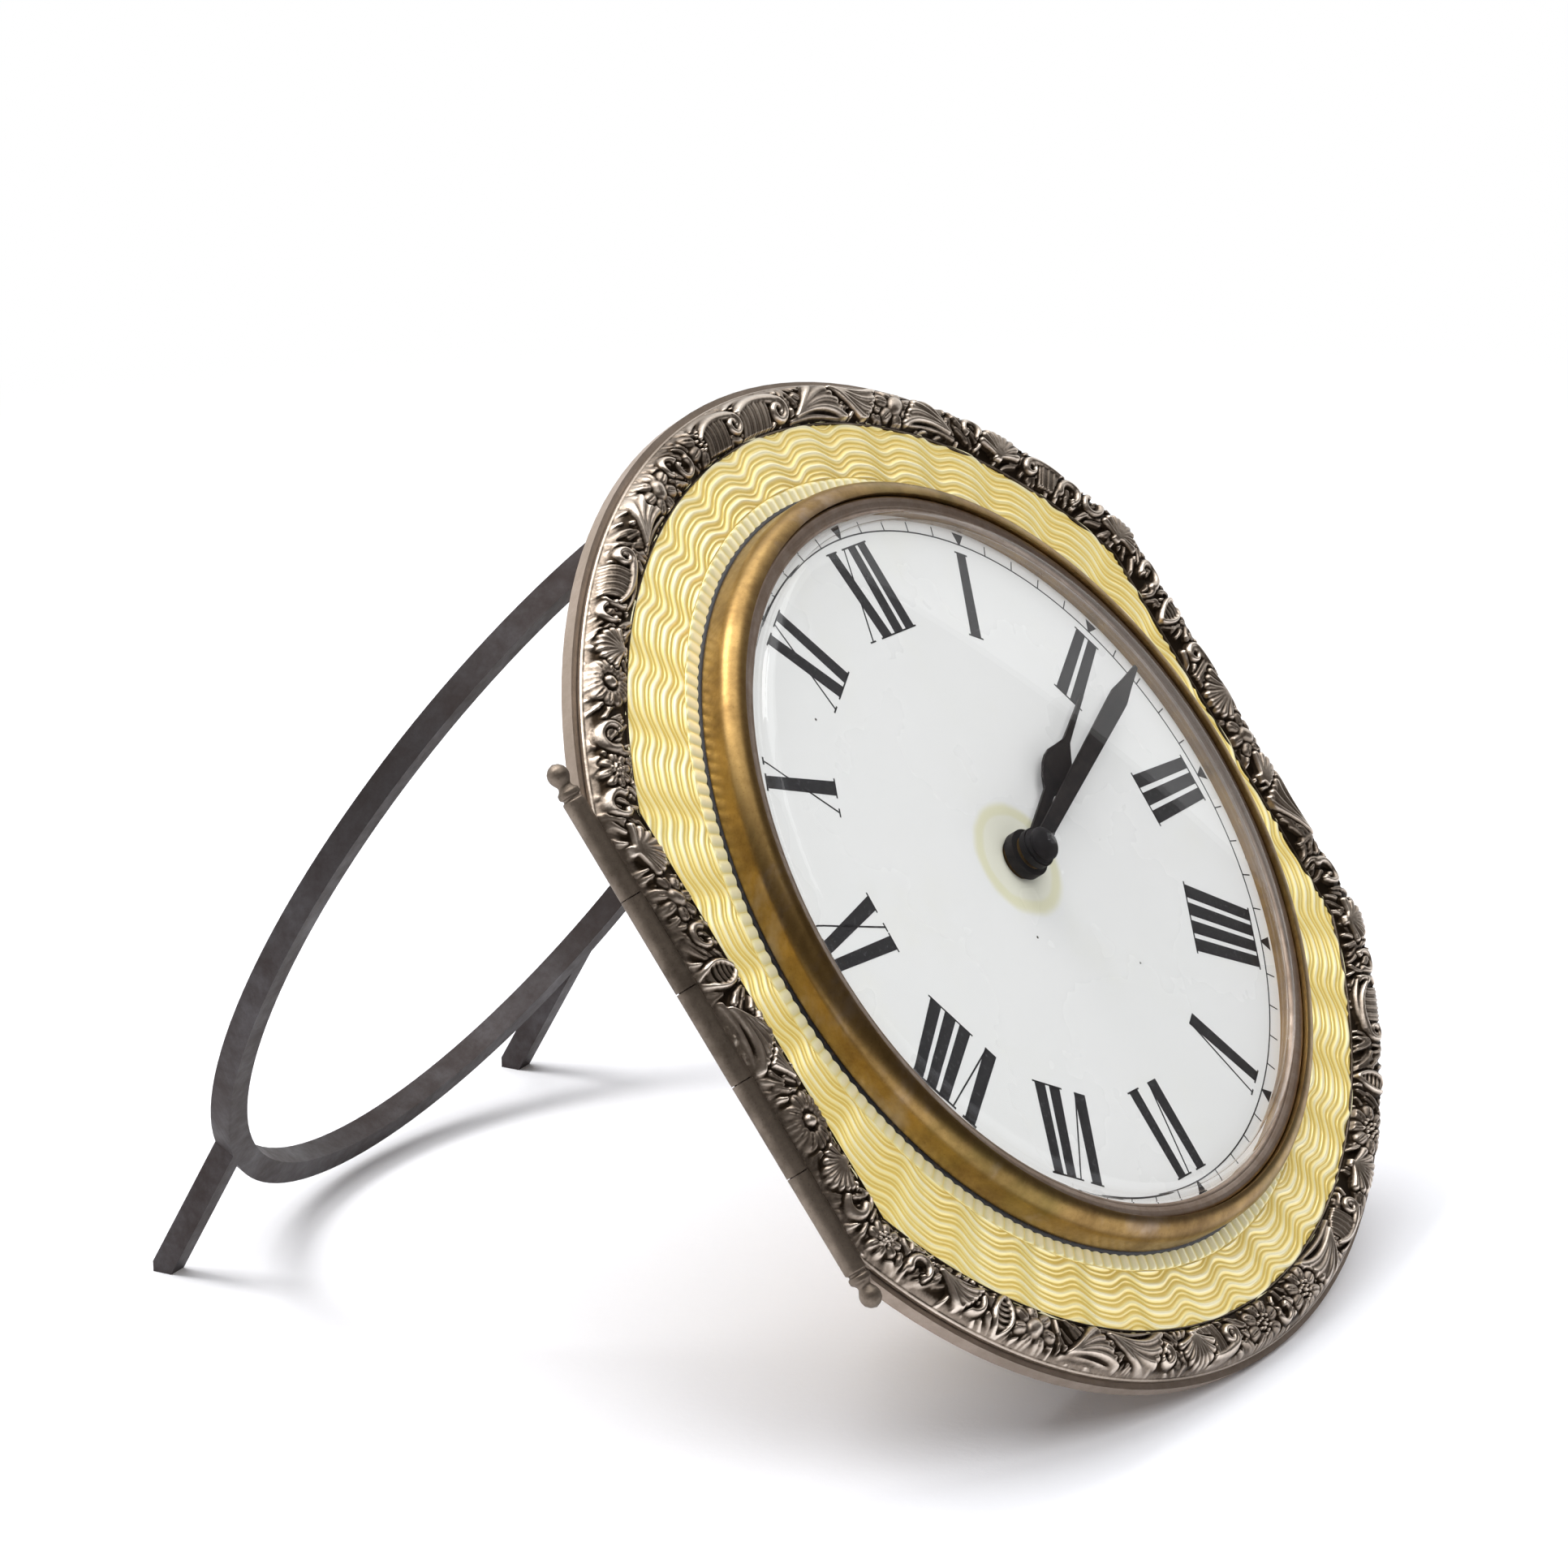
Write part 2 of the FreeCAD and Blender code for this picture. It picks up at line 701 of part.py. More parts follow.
def strut_hoop():
    """The hoop, its two legs and the centre knuckle, forged as one piece; drawn lying in its own plane,
    with the hinge axis as x and the legs running down y."""
    half = "hoop_depth / 2"
    hoop = cylinder("hoop_disc", "hoop_outer", "-%s" % half, half)
    hoop.setExpression("Placement.Base.y", bound("-hoop_outer"))
    legs = []
    for side in (-1, 1):
        start = "leg_outer - leg_width" if side > 0 else "-leg_outer"
        legs.append(block(
            "leg_%d" % (side + 1), (start, "-hoop_outer - leg_reach", "-%s" % half),
            ("leg_width", "leg_reach - leg_top", "hoop_depth")))
    web = block("knuckle_web", ("-strut_knuckle_half", "-hoop_outer + hoop_inner", "-%s" % half),
                ("2 * strut_knuckle_half", "hoop_outer - hoop_inner", "hoop_depth"))
    whole = joined("hoop_blank", [hoop] + legs + [web])
    inside = cylinder("hoop_inside", "hoop_inner", "-hoop_depth", "hoop_depth")
    inside.setExpression("Placement.Base.y", bound("-hoop_outer"))
    tools = [inside]
    for side in (-1, 1):
        reach = "strut_gap + bracket_length + strut_gap"
        start = "strut_knuckle_half" if side > 0 else "-strut_knuckle_half - (%s)" % reach
        tools.append(block("hoop_relief_%d" % (side + 1), (start, "-bracket_relief", "-hoop_depth"),
                           (reach, "bracket_relief + overrun", "2 * hoop_depth")))
    tools.append(table_block("strut_table", STRUT))
    tools.append(foot_corner_block())
    trimmed = cut("hoop_trimmed", whole, tools)
    knuckle = across_cylinder("strut_knuckle_bar", "hoop_depth / 2", "-strut_knuckle_half", "strut_knuckle_half")
    bore = across_cylinder("strut_knuckle_bore", "strut_bore",
                           "-strut_knuckle_half - overrun", "strut_knuckle_half + overrun")
    carried = joined("hoop_with_knuckle", [trimmed, knuckle])
    finish(cut("strut_hoop_cut", carried, [bore]), "strut_hoop", STRUT)


def across_cylinder(name, radius, start, end):
    """A cylinder along x between two bound places."""
    solid = document.addObject("Part::Cylinder", name)
    solid.setExpression("Radius", bound(radius))
    solid.setExpression("Height", bound("(%s) - (%s)" % (end, start)))
    solid.Placement = FreeCAD.Placement(
        FreeCAD.Vector(), FreeCAD.Rotation(FreeCAD.Vector(0, 1, 0), RIGHT_ANGLE))
    solid.setExpression("Placement.Base.x", bound(start))
    return solid


def foot_corner_block():
    """An upright block that takes the rear corner off both feet."""
    corner = STRUT.multVec(FreeCAD.Vector(0, 0, -size("hoop_depth") / 2))
    down = STRUT.Rotation.multVec(FreeCAD.Vector(0, -1, 0))
    heel = corner + down * (corner.z / -down.z)
    reach = 4 * size("rear_arc")
    solid = document.addObject("Part::Box", "foot_corner")
    solid.setExpression("Length", bound("8 * rear_arc"))
    solid.setExpression("Width", bound("4 * rear_arc"))
    solid.setExpression("Height", bound("2 * foot_chamfer"))
    start = FreeCAD.Placement(
        FreeCAD.Vector(-reach, heel.y - size("foot_chamfer") / 2, -size("foot_chamfer")), FreeCAD.Rotation())
    solid.Placement = STRUT.inverse().multiply(start)
    return solid


def strut_bracket():
    """Two fixed knuckles on small feet, left and right of the strut's own."""
    pieces = []
    for side in (-1, 1):
        near_end = "strut_knuckle_half + strut_gap"
        start = near_end if side > 0 else "-(%s) - bracket_length" % near_end
        name = "bracket_%d" % (side + 1)
        tube = across_cylinder(name + "_tube", "strut_knuckle", start, "(%s) + bracket_length" % start)
        foot = block(name + "_foot", (start, "-bracket_foot_half", "0"),
                     ("bracket_length", "2 * bracket_foot_half", "rear_back - strut_hinge_z"))
        flange = block(name + "_flange",
                       (start, "0", "rear_back - strut_hinge_z - bracket_flange_thick"),
                       ("bracket_length", "bracket_foot_half + bracket_flange", "bracket_flange_thick"))
        bore = across_cylinder(name + "_bore", "strut_pin", "(%s) - overrun" % start,
                               "(%s) + bracket_length + overrun" % start)
        whole = joined(name + "_whole", [tube, foot, flange])
        x = worked_out("(%s) + bracket_length / 2" % start)
        y = worked_out("bracket_foot_half + bracket_flange / 2")
        rivet_hole = cylinder(name + "_rivet_hole", "rivet_radius", "0",
                              "rear_back - strut_hinge_z + overrun", x, y)
        pieces.append(cut(name, whole, [bore, rivet_hole]))
    whole = group("strut_bracket_group", pieces)
    frame = CASE.multiply(FreeCAD.Placement(
        FreeCAD.Vector(0, size("strut_hinge_y"), size("strut_hinge_z")), FreeCAD.Rotation()))
    finish(whole, "strut_bracket", frame)


def rivet_places():
    """Where the two bracket rivets stand in the case's frame."""
    x = size("strut_knuckle_half") + size("strut_gap") + size("bracket_length") / 2
    y = size("strut_hinge_y") + size("bracket_foot_half") + size("bracket_flange") / 2
    return [(-x, y), (x, y)]


def strut_pin():
    reach = "strut_knuckle_half + strut_gap + bracket_length"
    bar = cylinder("strut_pin_bar", "strut_pin", "-(%s)" % reach, reach)
    finish(group("strut_pin_group", [bar]), "strut_pin", STRUT_AXIS)


def bracket_rivets():
    pieces = []
    for number, (x, y) in enumerate(rivet_places()):
        shank = cylinder("rivet_shank_%d" % number, "rivet_radius", "rear_back - bracket_flange_thick",
                         "seam - seam_gap", x, y)
        head = cylinder("rivet_head_%d" % number, "rivet_head",
                        "rear_back - bracket_flange_thick - rivet_head_thick",
                        "rear_back - bracket_flange_thick", x, y)
        pieces.append(joined("rivet_%d" % number, [shank, head]))
    whole = group("bracket_rivets_group", pieces)
    finish(whole, "bracket_rivets", CASE)


# Bezel, glass and dial

def bezel():
    body = turned("bezel", [
        ("bezel_bore", "collar_end"),
        ("bezel_collar", "collar_end"),
        ("bezel_collar", "enamel_top + panel_gap"),
        ("bezel_foot", "enamel_top + panel_gap"),
        ("bezel_foot", "bezel_crest"),
        ("ring_seat + fit_gap", "bezel_crest"),
        ("ring_seat + fit_gap", "ring_floor"),
        ("bezel_bore", "ring_floor"),
    ])
    rounded_rims(body, "bezel", "bezel_foot - ring_seat - 2 * fit_gap", [("bezel_foot", "bezel_crest")])
    finish(body, "bezel", CASE)


def glass_ring():
    body = turned("glass_ring", [
        ("ring_bore", "ring_floor + glass_thick"),
        ("glass_radius + fit_gap", "ring_floor + glass_thick"),
        ("glass_radius + fit_gap", "ring_floor + fit_gap"),
        ("ring_seat", "ring_floor + fit_gap"),
        ("ring_seat", "ring_top + ring_round"),
        ("ring_bore", "ring_top + ring_round"),
    ])
    rounded_rims(body, "glass_ring", "ring_round / 2",
                 [("ring_seat", "ring_top + ring_round"), ("ring_bore", "ring_top + ring_round")])
    finish(body, "glass_ring", CASE)


def glass():
    """A low domed crystal: a flat edge under its ring, a steep shoulder and a nearly flat crown."""
    crown_rise = size("glass_crown") - size("glass_shoulder_top")
    crown_radius = (size("glass_shoulder") ** 2 + crown_rise ** 2) / (2 * crown_rise)
    thick = size("glass_thick")
    centre = FreeCAD.Vector(0, 0, size("glass_crown") - crown_radius)

    def on_crown(radius, ball):
        return FreeCAD.Vector(radius, 0, centre.z + math.sqrt(ball ** 2 - radius ** 2))

    shoulder = size("glass_shoulder")
    inner_ball = crown_radius - thick
    wall = size("glass_wall")
    top_point = FreeCAD.Vector(0, 0, size("glass_crown"))
    inner_top = FreeCAD.Vector(0, 0, size("glass_crown") - thick)
    outer_shoulder = on_crown(shoulder, crown_radius)
    inner_shoulder = on_crown(shoulder - thick, inner_ball)
    outer_foot = FreeCAD.Vector(wall, 0, size("ring_floor") + thick)
    inner_foot = FreeCAD.Vector(wall - thick, 0, size("ring_floor"))
    bulge_share = 0.72
    outer_bulge = FreeCAD.Vector(
        shoulder + (wall - shoulder) * bulge_share, 0,
        outer_foot.z + (outer_shoulder.z - outer_foot.z) * bulge_share)
    inner_bulge = FreeCAD.Vector(
        inner_shoulder.x + (inner_foot.x - inner_shoulder.x) * bulge_share, 0,
        inner_foot.z + (inner_shoulder.z - inner_foot.z) * bulge_share)
    rim = size("glass_radius")
    low = FreeCAD.Vector(rim, 0, size("ring_floor"))
    high = FreeCAD.Vector(rim, 0, size("ring_floor") + thick - size("panel_gap"))
    ledge = FreeCAD.Vector(wall, 0, size("ring_floor") + thick - size("panel_gap"))
    edges = [
        Part.Arc(top_point, on_crown(shoulder / 2, crown_radius), outer_shoulder).toShape(),
        Part.Arc(outer_shoulder, outer_bulge, ledge).toShape(),
        Part.LineSegment(ledge, high).toShape(),
        Part.LineSegment(high, low).toShape(),
        Part.LineSegment(low, inner_foot).toShape(),
        Part.Arc(inner_foot, inner_bulge, inner_shoulder).toShape(),
        Part.Arc(inner_shoulder, on_crown(inner_shoulder.x / 2, inner_ball), inner_top).toShape(),
        Part.LineSegment(inner_top, top_point).toShape(),
    ]
    face = Part.Face(Part.Wire(edges))
    feature = document.addObject("Part::Feature", "glass_dome")
    feature.Shape = face.revolve(FreeCAD.Vector(), FreeCAD.Vector(0, 0, 1), FULL_TURN)
    finish(feature, "glass", CASE)


def rehaut():
    finish(turned("rehaut", [
        ("rehaut_bore", "0"),
        ("bezel_bore - fit_gap", "0"),
        ("bezel_bore - fit_gap", "ring_floor - panel_gap"),
        ("rehaut_bore", "ring_floor - panel_gap"),
    ]), "rehaut", CASE)


def dial():
    finish(turned("dial", [
        ("dial_hole", "-dial_thick"),
        ("dial_radius", "-dial_thick"),
        ("dial_radius", "0"),
        ("dial_hole", "0"),
    ]), "dial", DIAL)


def foot_places():
    """The dial feet, evenly round the dial and clear of the motion work."""
    step = FULL_TURN / DIAL_FEET
    places = []
    for number in range(DIAL_FEET):
        angle = math.radians(RIGHT_ANGLE + step / 2 + number * step)
        places.append((size("foot_circle") * math.cos(angle), size("foot_circle") * math.sin(angle)))
    return places


def dial_feet():
    feet = []
    for number, (x, y) in enumerate(foot_places()):
        feet.append(cylinder("dial_foot_%d" % number, "foot_radius", "front_plate_back", "-dial_thick", x, y))
    whole = group("dial_feet_group", feet)
    finish(whole, "dial_feet", DIAL)


# Places of the arbors

def polar(start, distance, degrees):
    angle = math.radians(degrees)
    return (start[0] + distance * math.cos(angle), start[1] + distance * math.sin(angle))


def mesh_distance(first, second, module):
    return (first + second) * size(module) / 2


CENTRE = (0, 0)
BARREL = polar(CENTRE, mesh_distance(BARREL_TEETH, CENTRE_LEAVES, "barrel_module"), size("barrel_turn"))
THIRD = polar(CENTRE, mesh_distance(CENTRE_TEETH, THIRD_LEAVES, "centre_module"), size("third_turn"))
FOURTH = polar(THIRD, mesh_distance(THIRD_TEETH, FOURTH_LEAVES, "third_module"), size("fourth_turn"))
ESCAPE = polar(FOURTH, mesh_distance(FOURTH_TEETH, ESCAPE_LEAVES, "fourth_module"), size("escape_turn"))
PALLET_SPAN = 60
LEVER = polar(ESCAPE, size("escape_radius") / math.cos(math.radians(PALLET_SPAN / 2)), size("lever_turn"))
BALANCE = polar(LEVER, size("balance_distance"), size("lever_turn"))
MOTION = polar(CENTRE, mesh_distance(CANNON_LEAVES, MINUTE_TEETH, "cannon_module"), size("motion_turn"))


# Movement case and plates

def drum():
    finish(turned("drum", [
        ("drum_ledge", "drum_end"),
        ("drum_radius", "drum_end"),
        ("drum_radius", "-dial_thick"),
        ("drum_bore", "-dial_thick"),
        ("drum_bore", "front_plate_back"),
        ("drum_ledge", "front_plate_back"),
    ]), "drum", DIAL)


def back_cover():
    body = turned("back_cover", [
        ("0", "cover_end"),
        ("drum_radius", "cover_end"),
        ("drum_radius", "drum_end"),
        ("drum_ledge - fit_gap", "drum_end"),
        ("drum_ledge - fit_gap", "drum_end + cover_lip"),
        ("back_plate_radius + fit_gap", "drum_end + cover_lip"),
        ("back_plate_radius + fit_gap", "cover_inner"),
        ("0", "cover_inner"),
    ])
    rounded_rims(body, "back_cover", "cover_round", [("drum_radius", "cover_end")])
    low = "cover_end - overrun"
    high = "cover_inner + overrun"
    tools = [
        cylinder("cover_set_hole", "centre_arbor + 4 * running_gap", low, high),
        cylinder("cover_key_hole", "barrel_arbor + 4 * running_gap", low, high, BARREL[0], BARREL[1]),
        regulator_slot(),
    ]
    finish(cut("back_cover_cut", body, tools), "back_cover", DIAL)


def regulator_slot():
    """A curved slot for the regulator's pin, struck from the balance axis."""
    reach = size("regulator_pin") + 4 * size("running_gap")
    track = size("regulator_tail")
    sweep = 2 * size("regulator_sweep") + math.degrees(2 * reach / track)
    start = size("lever_turn") - sweep / 2
    low = size("cover_end") - size("overrun")
    high = size("cover_inner") + size("overrun")
    base = FreeCAD.Vector(BALANCE[0], BALANCE[1], low)
    up = FreeCAD.Vector(0, 0, 1)
    outer = Part.makeCylinder(track + reach, high - low, base, up, sweep)
    inner = Part.makeCylinder(track - reach, high - low, base, up, sweep)
    slot = outer.cut(inner)
    slot.rotate(base, up, start)
    feature = document.addObject("Part::Feature", "regulator_slot")
    feature.Shape = slot
    return feature


def pivot_holes(name, places, low, high):
    tools = []
    for number, (x, y) in enumerate(places):
        tools.append(cylinder("%s_%d" % (name, number), "pivot + running_gap", low, high, x, y))
    return tools


def front_plate():
    disc = cylinder("front_plate_disc", "front_plate_radius", "front_plate_back", "front_plate_top")
    low = "front_plate_back - overrun"
    high = "front_plate_top + overrun"
    tools = pivot_holes("front_pivot", [THIRD, FOURTH, ESCAPE, BALANCE], low, high)
    tools.append(cylinder("front_centre_hole", "centre_arbor + running_gap", low, high))
    tools.append(cylinder("front_barrel_hole", "barrel_arbor + running_gap", low, high, BARREL[0], BARREL[1]))
    tools.append(cylinder("front_stud_hole", "stud_radius", low, high, MOTION[0], MOTION[1]))
    for number, (x, y) in enumerate(foot_places()):
        tools.append(cylinder("front_foot_hole_%d" % number, "foot_radius", low, high, x, y))
    finish(cut("front_plate_cut", disc, tools), "front_plate", DIAL)


def back_plate():
    disc = cylinder("back_plate_disc", "back_plate_radius", "back_plate_back", "back_plate_front")
    low = "back_plate_back - overrun"
    high = "back_plate_front + overrun"
    tools = pivot_holes("back_pivot", [THIRD, FOURTH, ESCAPE, LEVER, BALANCE], low, high)
    tools.append(cylinder("back_centre_hole", "centre_arbor + running_gap", low, high))
    tools.append(cylinder("back_barrel_hole", "barrel_arbor + running_gap", low, high, BARREL[0], BARREL[1]))
    tools.append(cylinder("back_click_hole", "click_stud - running_gap", low, high, *click_place()))
    for number, (x, y) in enumerate(pillar_places()):
        tools.append(cylinder("back_screw_hole_%d" % number, "screw_shank", low, high, x, y))
    finish(cut("back_plate_cut", disc, tools), "back_plate", DIAL)


def pillar_places():
    places = []
    for number in range(PILLARS):
        turn = size("pillar_turn") + number * FULL_TURN / PILLARS
        places.append(polar(CENTRE, size("pillar_circle"), turn))
    return places


def plate_pillars():
    pillars = []
    for number, (x, y) in enumerate(pillar_places()):
        post = cylinder("pillar_post_%d" % number, "pillar_radius", "back_plate_front", "front_plate_back", x, y)
        bore = cylinder("pillar_bore_%d" % number, "screw_shank", "back_plate_front",
                        "back_plate_front + screw_depth", x, y)
        pillars.append(cut("pillar_%d" % number, post, [bore]))
    whole = group("plate_pillars_group", pillars)
    finish(whole, "plate_pillars", DIAL)


def plate_screws():
    """Slotted screws through the back plate into the pillars."""
    screws = []
    for number, (x, y) in enumerate(pillar_places()):
        head = cylinder("screw_head_%d" % number, "screw_head", "back_plate_back - screw_head_thick",
                        "back_plate_back", x, y)
        shank = cylinder("screw_shank_%d" % number, "screw_shank", "back_plate_back",
                         "back_plate_front + screw_depth", x, y)
        slot = block("screw_slot_%d" % number,
                     ("-screw_head - overrun", "-screw_slot / 2", "back_plate_back - screw_head_thick - overrun"),
                     ("2 * screw_head + 2 * overrun", "screw_slot", "overrun + screw_head_thick / 2"), x, y)
        screws.append(cut("screw_%d" % number, joined("screw_blank_%d" % number, [head, shank]), [slot]))
    whole = group("plate_screws_group", screws)
    finish(whole, "plate_screws", DIAL)


# Wheels

def toothed_face(teeth, module, centred, leaf=False):
    """The outline of a wheel or pinion, with one tooth centred on the given angle in degrees."""
    pitch_radius = teeth * module / 2
    step = 2 * math.pi / teeth
    start = math.radians(centred)
    root_share = LEAF_ROOT_SHARE if leaf else ROOT_SHARE
    stations = [
        (pitch_radius - DEDENDUM_SHARE * module, -root_share / 2),
        (pitch_radius, -PITCH_SHARE / 2),
        (pitch_radius + ADDENDUM_SHARE * module, -TIP_SHARE / 2),
        (pitch_radius + ADDENDUM_SHARE * module, TIP_SHARE / 2),
        (pitch_radius, PITCH_SHARE / 2),
        (pitch_radius - DEDENDUM_SHARE * module, root_share / 2),
    ]
    points = []
    for tooth in range(teeth):
        for radius, share in stations:
            angle = start + (tooth + share) * step
            points.append(FreeCAD.Vector(radius * math.cos(angle), radius * math.sin(angle), 0))
    points.append(points[0])
    return Part.Face(Part.makePolygon(points))


def toothed_disc(teeth, module, centred, low, high, leaf=False):
    face = toothed_face(teeth, size(module), centred, leaf)
    face.translate(FreeCAD.Vector(0, 0, size(low)))
    return face.extrude(FreeCAD.Vector(0, 0, size(high) - size(low)))


def rod(radius, low, high):
    return Part.makeCylinder(radius, high - low, FreeCAD.Vector(0, 0, low))


def arm_windows(outer, inner, low, high):
    """The openings between a wheel's arms."""
    arm = size("balance_arm")
    ring = rod(outer, low, high).cut(rod(inner, low, high))
    for number in range(WHEEL_ARMS):
        bar = Part.makeBox(outer, arm, high - low, FreeCAD.Vector(0, -arm / 2, low))
        bar.rotate(FreeCAD.Vector(), FreeCAD.Vector(0, 0, 1), number * FULL_TURN / WHEEL_ARMS)
        ring = ring.cut(bar)
    return ring


def crossed_wheel(teeth, module, centred, low, high, hub):
    """A toothed wheel with its arms filed out."""
    root = teeth * size(module) / 2 - DEDENDUM_SHARE * size(module)
    rim = 3 * size(module)
    disc = toothed_disc(teeth, module, centred, low, high)
    return disc.cut(arm_windows(root - rim, hub, size(low), size(high)))


def feature(label, shape, frame):
    """A sub-part whose shape is worked out here from the sheet's sizes."""
    thing = document.addObject("Part::Feature", label + "_shape")
    thing.Shape = shape
    return finish(thing, label, frame)


def pivoted(bottom=True, top=True):
    """An arbor with a thin pivot at each end that runs in the plates."""
    shoulder_gap = size("running_gap")
    low = size("back_plate_front") + shoulder_gap
    high = size("front_plate_back") - shoulder_gap
    shape = rod(size("arbor"), low, high)
    if bottom:
        shape = shape.fuse(rod(size("pivot"), low - size("pivot_depth"), low))
    if top:
        shape = shape.fuse(rod(size("pivot"), high, high + size("pivot_depth")))
    return shape


def facing(teeth, degrees):
    """Turn a wheel so that a gap, not a tooth, points at its neighbour."""
    return degrees + FULL_TURN / teeth / 2


def centre_arbor():
    feature("centre_arbor", rod(size("centre_arbor"), size("set_knob_low"), size("arbor_top")), DIAL)


def centre_wheel():
    """The centre wheel and its leaves, which slip round the arbor when the hands are set."""
    bore = rod(size("centre_arbor") + size("running_gap"), size("centre_leaf_low"), size("centre_wheel_high"))
    collar = rod(2 * size("centre_arbor"), size("centre_leaf_high"), size("centre_wheel_high"))
    leaves = toothed_disc(CENTRE_LEAVES, "barrel_module", facing(CENTRE_LEAVES, size("barrel_turn")),
                          "centre_leaf_low", "centre_leaf_high", True)
    wheel = crossed_wheel(CENTRE_TEETH, "centre_module", size("third_turn"),
                          "centre_wheel_low", "centre_wheel_high", 3 * size("centre_arbor"))
    feature("centre_wheel", collar.multiFuse([leaves, wheel]).cut(bore).removeSplitter(), DIAL)


def third_wheel():
    turn = facing(THIRD_LEAVES, size("third_turn") + 2 * RIGHT_ANGLE)
    leaves = toothed_disc(THIRD_LEAVES, "centre_module", turn,
                          "third_leaf_low", "third_leaf_high", True)
    wheel = crossed_wheel(THIRD_TEETH, "third_module", size("fourth_turn"),
                          "third_wheel_low", "third_wheel_high", 3 * size("arbor"))
    feature("third_wheel", pivoted().multiFuse([leaves, wheel]).removeSplitter(), at(DIAL, *THIRD))


def fourth_wheel():
    leaves = toothed_disc(FOURTH_LEAVES, "third_module",
                          facing(FOURTH_LEAVES, size("fourth_turn") + 2 * RIGHT_ANGLE),
                          "fourth_leaf_low", "fourth_leaf_high", True)
    wheel = crossed_wheel(FOURTH_TEETH, "fourth_module", size("escape_turn"),
                          "fourth_wheel_low", "fourth_wheel_high", 3 * size("arbor"))
    feature("fourth_wheel", pivoted().multiFuse([leaves, wheel]).removeSplitter(), at(DIAL, *FOURTH))


def saw_face(teeth, outer, root):
    """A ring of pointed, leaning teeth."""
    step = 2 * math.pi / teeth
    points = []
    for tooth in range(teeth):
        angle = tooth * step
        points.append(FreeCAD.Vector(outer * math.cos(angle), outer * math.sin(angle), 0))
        back = angle + step * LEAF_ROOT_SHARE / 2
        points.append(FreeCAD.Vector(root * math.cos(back), root * math.sin(back), 0))
    points.append(points[0])
    return Part.Face(Part.makePolygon(points))


def escape_wheel():
    low = size("escape_wheel_low")
    high = size("escape_wheel_high")
    face = saw_face(ESCAPE_TEETH, size("escape_radius"), size("escape_rim"))
    face.translate(FreeCAD.Vector(0, 0, low))
    wheel = face.extrude(FreeCAD.Vector(0, 0, high - low))
    leaves = toothed_disc(ESCAPE_LEAVES, "fourth_module",
                          facing(ESCAPE_LEAVES, size("escape_turn") + 2 * RIGHT_ANGLE),
                          "escape_leaf_low", "escape_leaf_high", True)
    thin = size("pivot")
    low_end = size("back_plate_front") - size("pivot_depth")
    arbor = rod(thin, low_end, size("front_plate_back") + size("pivot_depth"))
    feature("escape_wheel", arbor.multiFuse([leaves, wheel]).removeSplitter(), at(DIAL, *ESCAPE))


def pallet_lever():
    """Two arms reach round the escape wheel, and a fork reaches the balance's roller."""
    low = size("escape_wheel_low")
    thick = size("escape_wheel_high") - low
    distance = LEVER[1] - ESCAPE[1]
    width = size("lever_width")
    tip = size("escape_radius") + size("lever_gap")
    shapes = [
        rod(size("pivot"), size("back_plate_front") - size("pivot_depth"), size("lever_arbor_top")),
        rod(width, low, low + thick),
        Part.makeBox(width, size("lever_length"), thick, FreeCAD.Vector(-width / 2, 0, low)),
    ]
    for side in (-1, 1):
        angle = math.radians(RIGHT_ANGLE + side * PALLET_SPAN / 2)
        stone = FreeCAD.Vector(tip * math.cos(angle), tip * math.sin(angle) - distance, low)
        reach = FreeCAD.Vector(stone.x, stone.y, 0)
        arm = Part.makeBox(reach.Length, width, thick, FreeCAD.Vector(0, -width / 2, low))
        arm.rotate(FreeCAD.Vector(), FreeCAD.Vector(0, 0, 1), math.degrees(math.atan2(reach.y, reach.x)))
        shapes.append(arm)
    blank = shapes[0].multiFuse(shapes[1:])
    swing_room = Part.makeCylinder(tip, 3 * thick, FreeCAD.Vector(0, -distance, low - thick))
    feature("pallet_lever", blank.cut(swing_room).removeSplitter(), at(DIAL, *LEVER))


def balance_wheel():
    low = size("balance_low")
    high = size("balance_high")
    rim = rod(size("balance_radius"), low, high).cut(rod(size("balance_rim"), low, high))
    arm = size("balance_arm")
    length = 2 * size("balance_rim") + arm
    bar = Part.makeBox(length, arm, high - low, FreeCAD.Vector(-length / 2, -arm / 2, low))
    roller = rod(size("roller_radius"), size("roller_low"), size("roller_high"))
    staff = pivoted()
    feature("balance_wheel", staff.multiFuse([rim, bar, roller]).removeSplitter(), at(DIAL, *BALANCE))


def hairspring():
    """The hairspring's coils, drawn as the flat ring that they fill."""
    low = size("hairspring_low")
    high = size("hairspring_high")
    ring = rod(size("hairspring_outer"), low, high).cut(rod(size("hairspring_inner"), low, high))
    feature("hairspring", ring, at(DIAL, *BALANCE))


# Mainspring barrel, winding and setting

def mainspring_barrel():
    low = size("barrel_tooth_low")
    top = size("barrel_top")
    shell = size("barrel_shell")
    flange = toothed_disc(BARREL_TEETH, "barrel_module", size("barrel_turn") + 2 * RIGHT_ANGLE,
                          "barrel_tooth_low", "barrel_tooth_high")
    body = flange.fuse(rod(shell, low, top))
    floor = low + size("barrel_wall")
    lid = top - size("barrel_cover_thick")
    body = body.cut(rod(shell - size("barrel_wall"), floor, lid))
    body = body.cut(rod(shell - size("barrel_wall") / 2, lid, top + size("overrun")))
    bore = rod(size("barrel_arbor") + size("running_gap"), low - size("overrun"), floor + size("overrun"))
    body = body.cut(bore)
    feature("mainspring_barrel", body.removeSplitter(), at(DIAL, *BARREL))


